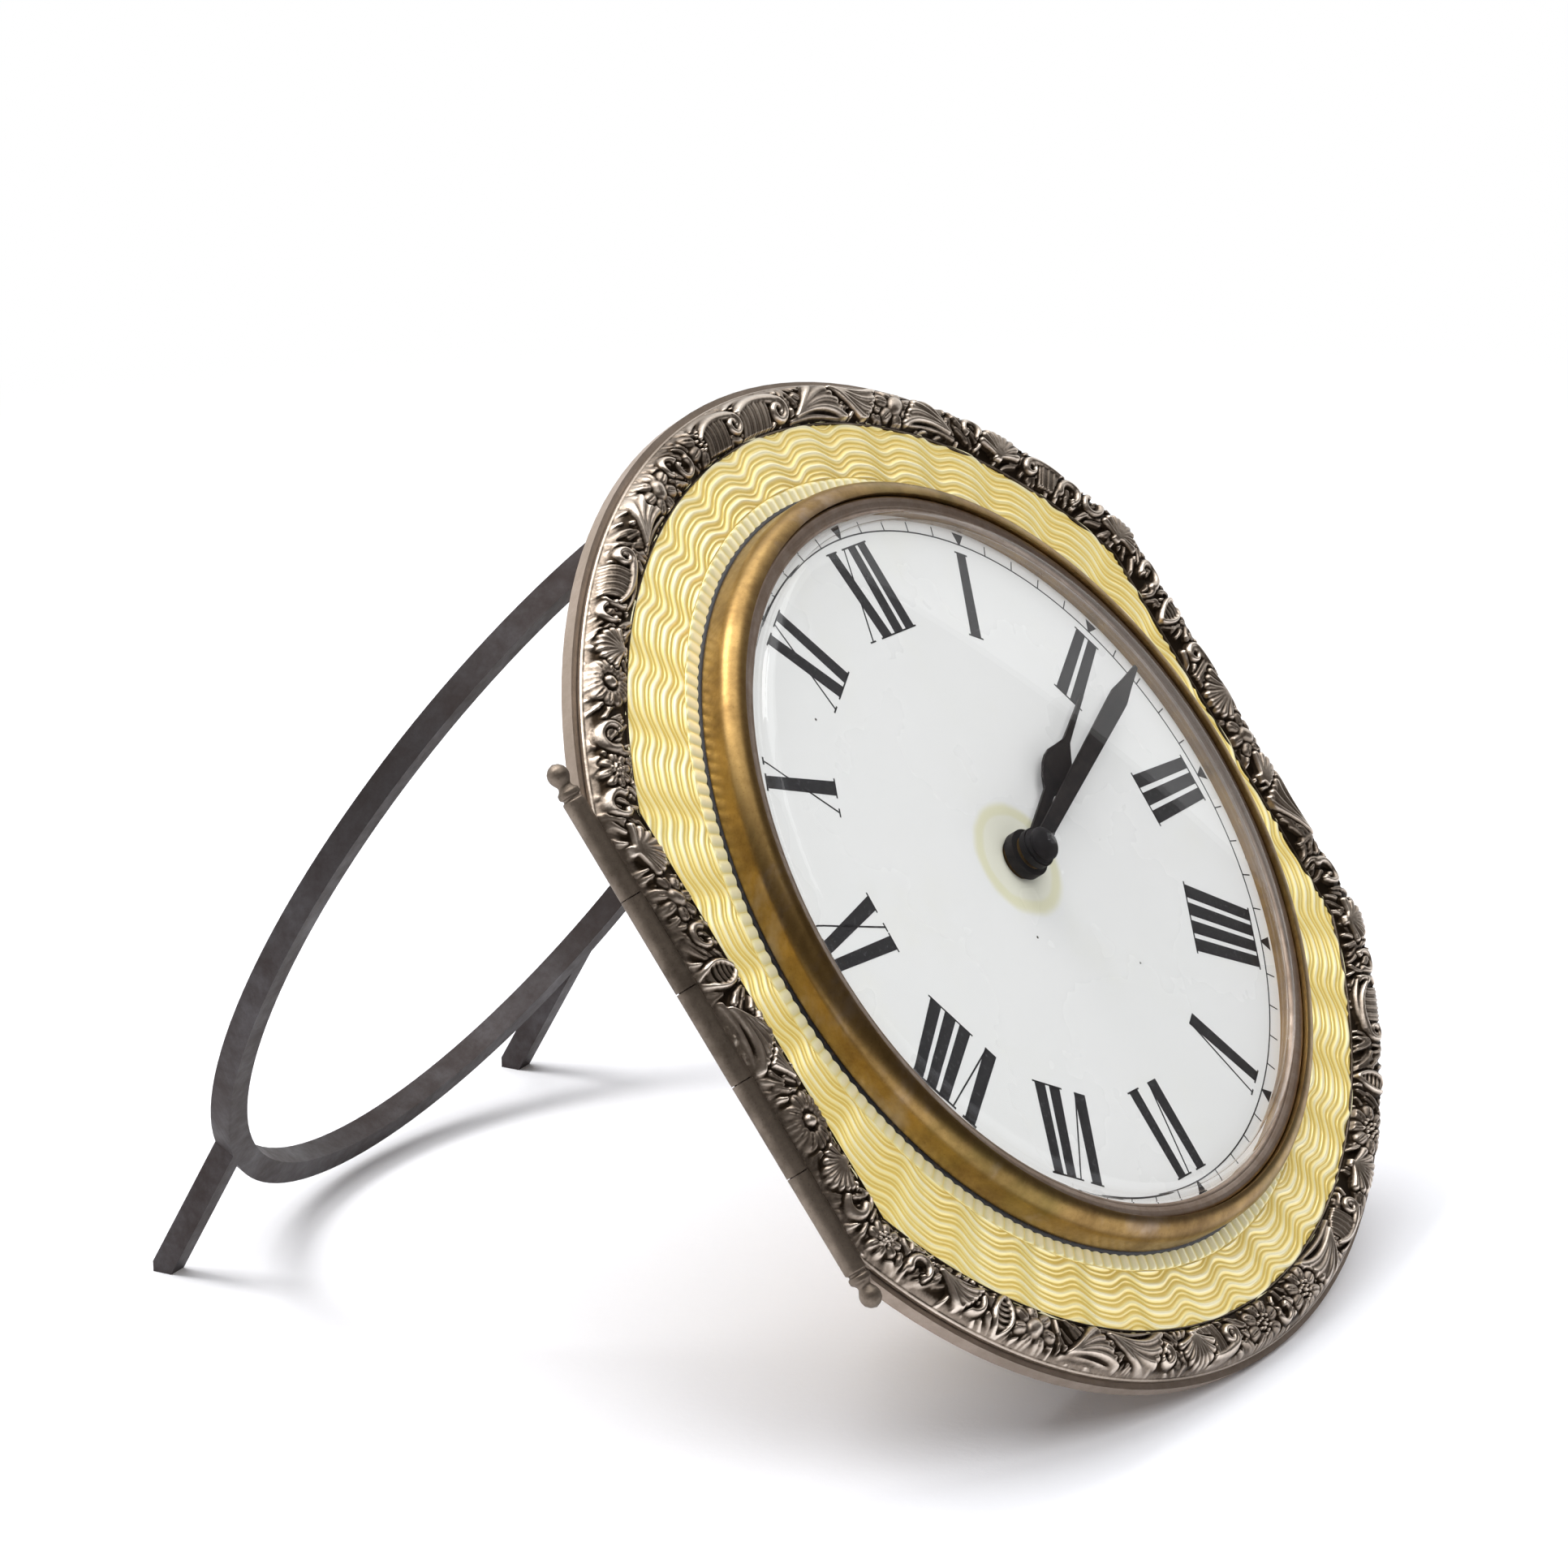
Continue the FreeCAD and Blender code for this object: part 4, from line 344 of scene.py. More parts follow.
def engine_turned(net, given):
    """Clear enamel over engine turning, by the piece's own ridge values. Deeper colour in the cuts and paler
    over the ridges, partly the enamel's depth and partly painted highlight.
    """
    fine = net.noise(1500.0, 4.0, 0.65)
    level = net.varied(net.measured("ridge"), net.noise(45.0, 4.0, 0.5), 0.28)
    level = net.varied(level, fine, 0.1)
    tone = net.mixed(net.ramp(level, 0.0, 0.42), given["Cut"], given["Flank"])
    tone = net.mixed(net.ramp(level, 0.45, 0.95), tone, given["Ridge"])
    dirt = net.ramp(net.noise(700.0, 3.0, 0.5), 0.74, 0.78)
    tone = net.mixed(net.scaled(dirt, 0.5), tone, given["Cut"])
    return tone, net.scaled(fine, 0.12, 0.26), fine


def fired_dial(net, given):
    """White dial enamel with a ring of old oil, cloudy patches and specks of dirt."""
    wide, fine = net.noise(60.0, 4.0, 0.5), net.noise(900.0, 5.0, 0.6)
    edge = net.varied(net.far(given["Middle"]), wide, 3.5 * MM)
    rim = net.sums("ABSOLUTE", net.sums("SUBTRACT", edge, 4.7 * MM))
    ring = net.ramp(rim, 0.2 * MM, 1.2 * MM, 1.0, 0.0)
    inside = net.ramp(edge, 4.5 * MM, 5.5 * MM, 0.45, 0.0)
    tone = net.mixed(net.sums("MAXIMUM", net.scaled(ring, 0.8), inside), given["White"], given["Stain"])
    cloud = net.scaled(net.ramp(net.noise(85.0, 6.0, 0.65), 0.5, 0.8), 0.12)
    tone = net.mixed(cloud, tone, given["Stain"])
    dots = net.node("TexVoronoi", {"Vector": net.place, "Scale": 330.0}).outputs
    near = net.ramp(dots["Distance"], 0.03, 0.06, 1.0, 0.0)
    few = net.ramp(net.node("SeparateColor", {0: dots["Color"]}).outputs[0], 0.84, 0.87)
    tone = net.mixed(net.sums("MULTIPLY", near, few), tone, given["Dirt"])
    return tone, net.scaled(wide, 0.15, 0.2), fine


def worn_paint(net, given):
    """Dark paint that has thinned in spots."""
    fine = net.noise(2400.0, 5.0, 0.65)
    patches = net.ramp(net.noise(300.0, 4.0, 0.6), 0.3, 0.7, 0.15, 0.7)
    mask = net.sums("MULTIPLY", net.ramp(fine, 0.52, 0.75), patches)
    return net.mixed(mask, given["Paint"], given["Thin"]), net.scaled(fine, 0.3, 0.32), fine


def paper_sheet(net, given):
    """White sheet with a fine tooth that goes to plain white away from the clock."""
    tooth = net.noise(900.0, 5.0, 0.6)
    away = net.ramp(net.sums("DIVIDE", net.far((0, 0, 0)), given["Reach"]), 0.45, 1.0)
    tone = net.mixed(net.scaled(net.noise(12.0, 3.0, 0.5), 0.12), given["Sheet"], WHITE)
    return tone, net.scaled(tooth, 0.2, 0.7), tooth, away


# Each effect's builder, its inputs with their first values, and its outputs
SURFACE = ("Color", "Roughness", "Height")
EFFECTS = {
    "aged metal": (aged_metal, {
        "Clean": WHITE, "Tarnish": BLACK, "Amount": 0.5, "Grain": 1.0, "Shine": 0.3}, SURFACE),
    "carved metal": (carved_metal, {"Crest": WHITE, "Flank": WHITE, "Hollow": BLACK}, SURFACE),
    "engine turned": (engine_turned, {"Ridge": WHITE, "Flank": WHITE, "Cut": BLACK}, SURFACE),
    "fired dial": (fired_dial, {
        "White": WHITE, "Stain": WHITE, "Dirt": BLACK, "Middle": (0, 0, 0)}, SURFACE),
    "worn paint": (worn_paint, {"Paint": BLACK, "Thin": WHITE}, SURFACE),
    "paper sheet": (paper_sheet, {"Sheet": WHITE, "Reach": 0.3}, (*SURFACE, "Away")),
}
SOCKETS = {1: "NodeSocketFloat", 3: "NodeSocketVector", 4: "NodeSocketColor"}


def effect_group(name):
    """The node group of a shared effect, built at its first use."""
    found = bpy.data.node_groups.get(name)
    if found:
        return found
    build, takes, gives = EFFECTS[name]
    tree = bpy.data.node_groups.new(name, "ShaderNodeTree")
    for label, value in takes.items():
        socket = tree.interface.new_socket(label, in_out="INPUT", socket_type=SOCKETS[np.size(value)])
        socket.default_value = value
    for label in gives:
        kind = SOCKETS[4 if label == "Color" else 1]
        tree.interface.new_socket(label, in_out="OUTPUT", socket_type=kind)
    start, end = tree.nodes.new("NodeGroupInput"), tree.nodes.new("NodeGroupOutput")
    for label, value in zip(gives, build(Net(tree), start.outputs)):
        tree.links.new(value, end.inputs[label])
    return tree


# Finishes

# Clean and tarnished colour, amount of tarnish, grain, roughness, bump in millimetres, share of metal
METALS = {
    "old silver": ("copper", "silver_grey", 0.5, 0.5, 0.3, 0.03, 1.0),
    "dull silver": ("silver_grey", "silver_dark", 0.4, 0.6, 0.36, 0.03, 1.0),
    "brass": ("brass", "brass_dark", 0.35, 0.4, 0.28, 0.02, 1.0),
    "bezel brass": ("brass", "brass_dark", 0.45, 0.3, 0.14, 0.006, 1.0),
    "rehaut brass": ("brass", "copper_dark", 0.5, 0.3, 0.34, 0.01, 1.0),
    "retaining ring": ("copper", "copper_dark", 0.45, 0.3, 0.27, 0.01, 1.0),
    "iron": ("iron", "iron_dark", 0.55, 0.4, 0.3, 0.012, 0.85),
    "steel": ("steel", "steel_dark", 0.4, 0.3, 0.24, 0.02, 1.0),
    "hand steel": ("iron_dark", "ink", 0.55, 0.3, 0.34, 0.01, 0.7),
}
# Effect, its own values, bump in millimetres, the shader's plain values
FINISHES = {
    # Carved silver: its Hollow colour blackens the recesses, partly real blackening and partly painted shade.
    "carved silver": ("carved metal", {"Crest": "silver", "Flank": "silver_grey", "Hollow": "silver_dark"},
                      0.03, {"Metallic": 1.0}),
    "wave enamel": ("engine turned", {"Ridge": "enamel_pale", "Flank": "enamel", "Cut": "enamel_deep"},
                    0.005, {"Metallic": 0.22, "Coat Weight": 0.8, "Coat Roughness": 0.04}),
    "flute enamel": ("engine turned", {"Ridge": "enamel_pale", "Flank": "flute_pale", "Cut": "enamel"},
                     0.006, {"Metallic": 0.3, "Coat Weight": 0.6, "Coat Roughness": 0.04}),
    "dial white": ("fired dial", {
        "White": "dial", "Stain": "stain", "Dirt": "silver_dark", "Middle": tuple(CENTRE)},
        0.004, {"Coat Weight": 0.4, "Coat Roughness": 0.08}),
    "figure black": ("worn paint", {"Paint": "ink", "Thin": "iron"}, 0.004, {}),
    # Dark finish at the bezel's foot: painted shade in the gap between the bezel and the enamel.
    "painted gap shade": ("worn paint", {"Paint": "ink", "Thin": "brass_dark"}, 0.03, {}),
    "cloth": ("worn paint", {"Paint": "silver_dark", "Thin": "iron_dark"}, 0.02, {}),
    "sheet": ("paper sheet", {"Sheet": "paper", "Reach": 0.34}, 0.05, {"Specular IOR Level": 0.1}),
}
FINISHES.update({
    name: ("aged metal", dict(zip(("Clean", "Tarnish", "Amount", "Grain", "Shine"), values)), bump,
           {"Metallic": metallic})
    for name, (*values, bump, metallic) in METALS.items()})


def blank_material(name):
    made = bpy.data.materials.new(name)
    made.use_nodes = True
    made.node_tree.nodes.clear()
    return made, Net(made.node_tree)


def finish_of(name):
    """The material of a finish, whose colour, roughness and bump come from a shared effect."""
    found = bpy.data.materials.get(name)
    if found:
        return found
    effect, values, bump, plain = FINISHES[name]
    made, net = blank_material(name)
    source = net.node("Group", node_tree=effect_group(effect))
    for label, value in values.items():
        source.inputs[label].default_value = tint(value) if isinstance(value, str) else value
    bent = net.node("Bump", {"Strength": 1.0, "Distance": bump * MM, "Height": source.outputs["Height"]})
    shader = net.node("BsdfPrincipled", {
        "Base Color": source.outputs["Color"], "Roughness": source.outputs["Roughness"],
        "Normal": bent.outputs[0], **plain})
    net.node("OutputMaterial", {"Surface": shader.outputs[0]})
    return made


def bezel_material():
    """Brass with green and pinkish films."""
    made = finish_of("bezel brass")
    net = Net(made.node_tree)
    base = net.found("BsdfPrincipled").inputs["Base Color"]
    green = net.ramp(net.noise(38.0, 5.0, 0.6), 0.52, 0.68, 0.0, 0.5)
    tone = net.mixed(green, base.links[0].from_socket, tint("brass_green"))
    warm = net.ramp(net.noise(70.0, 5.0, 0.6, (1.0, 1.6, 1.0)), 0.56, 0.72, 0.0, 0.6)
    net.tree.links.new(net.mixed(warm, tone, tint("copper")), base)
    return made


def clear_glass():
    """Clear glass that lets light through to the dial without a shadow."""
    made, net = blank_material("crystal")
    rough = net.ramp(net.noise(160.0, 6.0, 0.65), 0.45, 0.85, 0.0, 0.004)
    tone = net.mixed(net.ramp(net.noise(50.0, 3.0, 0.5), 0.3, 0.8), WHITE, (0.985, 0.99, 0.985, 1))
    shader = net.node("BsdfPrincipled", {
        "Base Color": tone, "Roughness": rough, "IOR": 1.01, "Transmission Weight": 1.0,
        "Coat Weight": 0.5, "Coat IOR": 1.4, "Coat Roughness": 0.01})
    through = net.node("BsdfTransparent", {"Color": (0.96, 0.97, 0.96, 1)})
    rays = net.node("LightPath").outputs
    share = net.sums("MAXIMUM", rays["Is Shadow Ray"], rays["Is Diffuse Ray"])
    both = net.node("MixShader", {0: share, 1: shader.outputs[0], 2: through.outputs[0]})
    net.node("OutputMaterial", {"Surface": both.outputs[0]})
    return made


# The construction's own pieces

NODE_FINISHES = {
    "old silver": ("rear_frame",),
    "dull silver": ("hinge_finials", "rear_hinge_tubes", "door_hinge_tubes", "hinge_pin"),
    "iron": ("strut_hoop", "strut_bracket", "strut_pin", "bracket_rivets"),
    "rehaut brass": ("rehaut",),
    "dial white": ("dial",),
    "hand steel": ("hour_hand", "minute_hand", "hand_cap"),
    "steel": ("plate_screws", "pallet_lever", "hairspring", "mainspring", "barrel_arbor", "ratchet_wheel",
              "click", "click_spring", "regulator_lever", "cannon_pinion", "minute_stud", "centre_arbor"),
    "brass": ("dial_feet", "drum", "back_cover", "front_plate", "back_plate", "plate_pillars",
              "centre_wheel", "third_wheel", "fourth_wheel", "escape_wheel", "balance_wheel",
              "mainspring_barrel", "barrel_cover", "winding_key", "set_knob", "minute_wheel", "hour_wheel"),
}


def finish_construction():
    """Gives the construction's own pieces their finishes."""
    for finish, names in NODE_FINISHES.items():
        for name in names:
            for place in frame["nodes"][name].material_slots:
                place.material = finish_of(finish)


# The border

def perimeter(arc_radius, offset, half, along_arc, along_side):
    """Points round a barrel outline, clockwise from its upper left corner, in four runs."""
    reach = math.asin(half / arc_radius)
    corner = math.sqrt(arc_radius ** 2 - half ** 2) - offset
    turn = np.linspace(-reach, reach, along_arc, endpoint=False)
    top = np.stack([arc_radius * np.sin(turn), arc_radius * np.cos(turn) - offset], -1)
    rise = np.linspace(corner, -corner, along_side, endpoint=False)
    right = np.stack([np.full(along_side, half), rise], -1)
    return np.concatenate([top, right, -top, -right])


def window_edge(along_arc, along_side):
    return perimeter(mm("window_arc"), mm("window_offset"), mm("window_half"), along_arc, along_side)


def bezier(points, steps):
    points = np.asarray(points, float)
    share = np.linspace(0, 1, steps)[:, None]
    order = len(points) - 1
    return sum(math.comb(order, k) * share ** k * (1 - share) ** (order - k) * points[k]
               for k in range(order + 1))


class Relief:
    """Heights over the border's strip: along it, and across it from the window to the rim."""

    def __init__(self, along, across, run):
        self.height = np.zeros((along, len(across)))
        self.across = across
        self.step = run / along
        self.rows = along

    def window(self, low, high, inner, outer):
        places = np.arange(math.floor(low / self.step), math.ceil(high / self.step) + 1)
        first, last = np.searchsorted(self.across, (inner, outer))
        return places % self.rows, places * self.step, slice(first, last), self.across[first:last]

    def segment(self, start, end, thick, thin, height, sink=False):
        reach = max(thick, thin)
        rows, along, columns, across = self.window(
            min(start[0], end[0]) - reach, max(start[0], end[0]) + reach,
            min(start[1], end[1]) - reach, max(start[1], end[1]) + reach)
        if not len(across):
            return
        way = np.array(end) - np.array(start)
        size = max(way @ way, 1e-9)
        x, y = along[:, None] - start[0], across[None, :] - start[1]
        share = np.clip((x * way[0] + y * way[1]) / size, 0, 1)
        apart = (x - share * way[0]) ** 2 + (y - share * way[1]) ** 2
        wide = thick + (thin - thick) * share
        dome = height * np.sqrt(np.clip(1 - apart / wide ** 2, 0, 1))
        part = self.height[rows, columns]
        self.height[rows, columns] = part - dome if sink else np.maximum(part, dome)

    def stroke(self, points, thick, thin, height, sink=False):
        """A ridge, or a groove where it sinks, that goes from thick to thin along its points."""
        count = len(points) - 1
        for k in range(count):
            wide = [thick + (thin - thick) * share for share in (k / count, (k + 1) / count)]
            self.segment(points[k], points[k + 1], *wide, height, sink)

    def oval(self, place, long, short, turn, height):
        reach = np.array([math.cos(turn), math.sin(turn)]) * max(long - short, 0.01)
        self.segment(np.array(place) - reach, np.array(place) + reach, short, short, height)


class Ornament:
    """Cast motifs drawn on a relief. A motif's own frame is turned round its place and can be mirrored."""

    fullness = 1.42

    def __init__(self, relief, place, middle, scale, offset=0.0, flip=1, rise=1):
        self.relief, self.place, self.middle = relief, place, middle + offset
        self.flip, self.rise, self.scale = flip, rise, scale

    def at(self, points):
        points = np.atleast_2d(np.asarray(points, float)) * self.scale
        return np.stack([self.place + self.flip * points[:, 0], self.middle + self.rise * points[:, 1]], -1)

    def line(self, points, thick, thin, height, sink=False):
        self.relief.stroke(self.at(points), thick * self.scale, thin * self.scale, height, sink)

    def ridge(self, points, thick, thin, height, steps=9):
        self.line(bezier(points, steps), self.fullness * thick, self.fullness * thin, height)

    def scroll(self, reach=5.0, turns=1.35, eye=0.95, ribs=9):
        """A long ridge that winds up into an eye, with ribs on its hollow side."""
        turn = np.linspace(0, turns * FULL_TURN, 26)
        radius = eye * (1 - 0.72 * turn / turn[-1])
        self.line(np.stack([radius * np.sin(turn), -0.35 + radius * np.cos(turn)], -1), 0.42, 0.22, 0.95)
        self.ridge([(0, eye - 0.35), (-reach * 0.35, 1.35), (-reach * 0.75, 1.1), (-reach, 0.2)],
                   0.42, 0.16, 0.95, 14)
        self.ridge([(-0.5, eye - 0.1), (-reach * 0.4, 1.75), (-reach * 0.8, 1.6), (-reach * 1.05, 1.1)],
                   0.3, 0.12, 0.7, 12)
        for k in range(ribs):
            share = (k + 0.6) / ribs
            base = (-0.9 - share * (reach - 1.4), 0.95 - 0.75 * share ** 2)
            self.ridge([base, (base[0] + 0.1, base[1] - 0.8), (base[0] - 0.55, -1.75 + 0.25 * share)],
                       0.19, 0.15, 0.66 + 0.1 * (k % 2), 7)
        self.line([(0, -0.35), (0.05, -0.3)], 0.28, 0.28, 0.5, True)

    def spray(self, blades=7, reach=4.6):
        """Long leaves that part from one stem."""
        for k in range(blades):
            share = k / (blades - 1)
            end = (reach * (0.45 + 0.55 * share), 1.75 - 3.3 * share ** 1.3)
            bend = (reach * 0.28 * (1 + share), 1.5 - 1.6 * share)
            self.ridge([(-reach * 0.35, -1.2), (0.0, -0.9 + 0.9 * (1 - share)), bend, end],
                       0.16, 0.34, 0.7 + 0.22 * ((k + 1) % 2), 12)
            tip = (end[0] - 0.25, end[1] + 0.32 - 0.5 * share)
            self.ridge([end, (end[0] + 0.2, end[1] + 0.2), tip], 0.3, 0.16, 0.85, 5)
        self.ridge([(-reach * 0.5, -1.6), (0, -1.1), (reach * 0.5, -1.5), (reach, -1.75)],
                   0.22, 0.12, 0.6, 10)

    def flower(self, petals=7, heart=0.78, berries=0):
        """A blossom round an oval heart, or round a heap of berries."""
        for k in range(petals):
            turn = FULL_TURN * (k + 0.3) / petals
            ring = np.array([math.cos(turn) * 1.3, math.sin(turn) * 1.18])
            self.relief.oval(self.at([ring])[0], 0.68 * self.scale, 0.52 * self.scale,
                             turn * self.flip * self.rise, 0.78)
            self.line(bezier([ring * 0.75, ring * 1.35], 4), 0.07, 0.05, 0.22, True)
        for k in range(berries):
            turn, far = 2.4 * k, 0.19 * math.sqrt(k)
            spot = (far * math.cos(turn), far * math.sin(turn) * 1.1)
            self.relief.stroke(self.at([spot, (spot[0] + 0.01, spot[1])]), 0.2, 0.2, 1.0)
        if not berries:
            self.relief.oval(self.at([(0, 0)])[0], heart * 1.15 * self.scale, heart * 0.9 * self.scale,
                             0.9, 1.0)

    def fan(self, ribs=9, spread=2.5, reach=1.7):
        """A shell of ribs that part from its foot."""
        for k in range(ribs):
            turn = math.pi / 2 + spread * (k / (ribs - 1) - 0.5)
            tip = (reach * math.cos(turn) * 1.15, -1.0 + reach * math.sin(turn) * 1.35)
            self.ridge([(0.15 * math.cos(turn), -1.0), (tip[0] * 0.5, -1.0 + (tip[1] + 1.0) * 0.65), tip],
                       0.1, 0.27, 0.9, 7)
        self.relief.oval(self.at([(0, -1.15)])[0], 0.6, 0.36, 0.0, 0.9)

    def leaf(self, rungs=5, reach=1.5):
        """A pointed leaf with a raised edge and rungs."""
        for side in (-1, 1):
            self.ridge([(0.0, -reach), (side * 1.2, -0.4), (side * 0.85, 0.9), (0.0, reach)],
                       0.17, 0.14, 0.9, 12)
        for k in range(rungs):
            level = -0.85 + 1.7 * k / (rungs - 1)
            self.ridge([(-0.55, level - 0.1), (0, level + 0.12), (0.55, level - 0.1)], 0.13, 0.13, 0.62, 5)

    def curl(self, size=0.8, height=0.85):
        """A small hook with a ball at its end."""
        turn = np.linspace(-0.5, 3.9, 14)
        hook = np.stack([size * np.cos(turn), size * np.sin(turn)], -1)
        self.line(hook, 0.36, 0.24, height)
        self.relief.oval(self.at([hook[-1] * 0.75])[0], 0.27, 0.24, 0.0, height)
        self.ridge([(size, -0.3 * size), (size * 1.5, -1.2 * size), (size * 0.6, -1.9 * size)],
                   0.22, 0.1, 0.7, 7)


# A motif's angle clockwise from the top in degrees, its kind and its scale. Where they aren't plain, its
# place across from the middle and its mirroring along and across follow.
MOTIFS = (
    (7.0, "scroll", 1.0, -0.1), (12.5, "spray", 0.9), (20.0, "spray", 0.8, 0.1, 1, -1),
    (28.5, "oval flower", 1.1), (35.5, "spray", 0.75, 0.0, -1), (41.0, "curl", 1.0, 0.3),
    (45.5, "fan", 0.95), (50.5, "scroll", 0.7, 0.0, -1), (56.5, "curl", 1.1, -0.3, -1),
    (60.0, "curl", 1.0, 0.4, 1, -1), (64.5, "fan", 0.85), (70.0, "curl", 1.1), (74.5, "leaf", 0.95),
    (80.0, "scroll", 0.75, 0.0, -1), (86.0, "fan", 1.0, 0.0, 1, -1), (91.5, "oval flower", 0.95),
    (97.0, "fan", 0.95), (103.0, "spray", 0.8, 0.0, -1, -1), (109.5, "curl", 1.1, 0.0, -1),
    (115.5, "fan", 0.85, 0.1), (120.5, "curl", 1.0, 0.3), (124.0, "curl", 1.0, -0.4, -1, -1),
    (129.5, "scroll", 0.8, 0.0, 1, -1), (136.5, "leaf", 0.95), (143.5, "berry flower", 1.1),
    (150.0, "fan", 1.0), (156.5, "scroll", 0.75, 0.0, -1), (164.5, "spray", 0.9),
    (173.5, "berry flower", 1.05), (179.0, "curl", 0.9, 0.2), (183.8, "berry flower", 1.1),
    (190.5, "scroll", 0.85, 0.0, -1), (197.0, "fan", 0.95, -0.1), (203.0, "scroll", 0.85, 0.0, -1, -1),
    (209.5, "spray", 0.9, 0.0, -1), (216.5, "spray", 0.75, 0.0, -1, -1), (223.5, "oval flower", 1.05),
    (227.9, "leaf", 1.0), (232.0, "curl", 1.1), (235.5, "spray", 0.6, 0.0, -1),
    (239.5, "curl", 1.05, 0.2, 1, -1), (244.5, "berry flower", 0.75, 0.1), (249.0, "curl", 1.15, 0.0, -1),
    (252.5, "fan", 0.8), (258.0, "daisy", 1.05), (264.5, "spray", 0.75), (270.5, "spray", 0.7, 0.1, -1, -1),
    (276.0, "leaf", 1.1), (280.5, "curl", 0.95, -0.3), (285.0, "oval flower", 0.9),
    (290.5, "fan", 0.9, 0.0, 1, -1), (295.5, "curl", 1.1, 0.1), (299.0, "berry flower", 0.7),
    (303.0, "curl", 1.2, 0.0, -1), (309.5, "daisy", 1.0), (314.0, "fan", 0.8, -0.2),
    (318.5, "curl", 0.9, 0.5), (321.0, "curl", 0.9, -0.4, -1, -1), (326.5, "scroll", 0.8, 0.0, 1, -1),
    (332.5, "spray", 0.8), (339.0, "oval flower", 1.0), (343.5, "curl", 0.9, 0.4),
    (345.5, "curl", 0.9, -0.5, 1, -1), (351.0, "berry flower", 1.1), (357.8, "scroll", 0.85, 0.1),
)

FLOWERS = {
    "oval flower": {},
    "berry flower": {"petals": 8, "berries": 14},
    "daisy": {"petals": 11, "heart": 0.5},
}
MOTIF_SCALE = 1.32
BLADES, BLADE_SEED = 1500, 11
# Shares of the border's width: the strip that carries the ornament, and the motifs' middle on that strip
STRIP_SHARE, STRIP_MIDDLE = 0.84, 0.52


def draw_motif(motif, kind):
    if kind in FLOWERS:
        motif.flower(**FLOWERS[kind])
    else:
        getattr(motif, kind)()


def blurred(height, reach):
    """The heights spread along and across by a few places."""
    count = 2 * reach + 1
    spread = sum(np.roll(height, k, 0) for k in range(-reach, reach + 1)) / count
    padded = np.pad(spread, ((0, 0), (reach, reach)), mode="edge")
    return sum(padded[:, k:k + height.shape[1]] for k in range(count)) / count


def border_heights(rows, across, run, bearings):
    """The ornament's heights and its darkness values over the strip, with small blades between the motifs. The
    values darken the hollows, partly as real blackening and partly as painted shade.
    """
    relief = Relief(rows, across, run)
    middle = across[-1] * STRIP_MIDDLE
    dice = np.random.default_rng(BLADE_SEED)
    for k in range(BLADES):
        place = run * k / BLADES + dice.uniform(-0.2, 0.2)
        lean = 1.5 * math.sin(place * 0.55) + dice.uniform(-0.35, 0.35)
        level = middle + dice.uniform(-1.0, 1.0) * middle * 0.95
        reach = dice.uniform(0.35, 0.8)
        hook = [(place, level - reach), (place + lean * 0.25, level), (place + lean, level + reach)]
        relief.stroke(bezier(hook, 6), 0.18, 0.32, dice.uniform(0.38, 0.74))
    for bearing, kind, scale, *frame_of_motif in MOTIFS:
        place = np.argmin(np.abs((bearings - bearing + 180) % 360 - 180)) * relief.step
        alone = Relief(rows, across, run)
        draw_motif(Ornament(alone, place, middle, scale * MOTIF_SCALE, *frame_of_motif), kind)
        clear = blurred((alone.height > 0.05).astype(float), 1) > 0.2
        relief.height = np.where(clear, alone.height, relief.height)
    height = blurred(np.clip(relief.height, -0.15, 1.0), 1)
    hollow = height - blurred(height, 5)
    # Low values darken the local hollows, partly real blackening and partly painted shade; high crests come
    # out lighter as rubbed silver.
    return height, np.clip(0.12 + 0.55 * height + 1.15 * hollow, 0, 1)


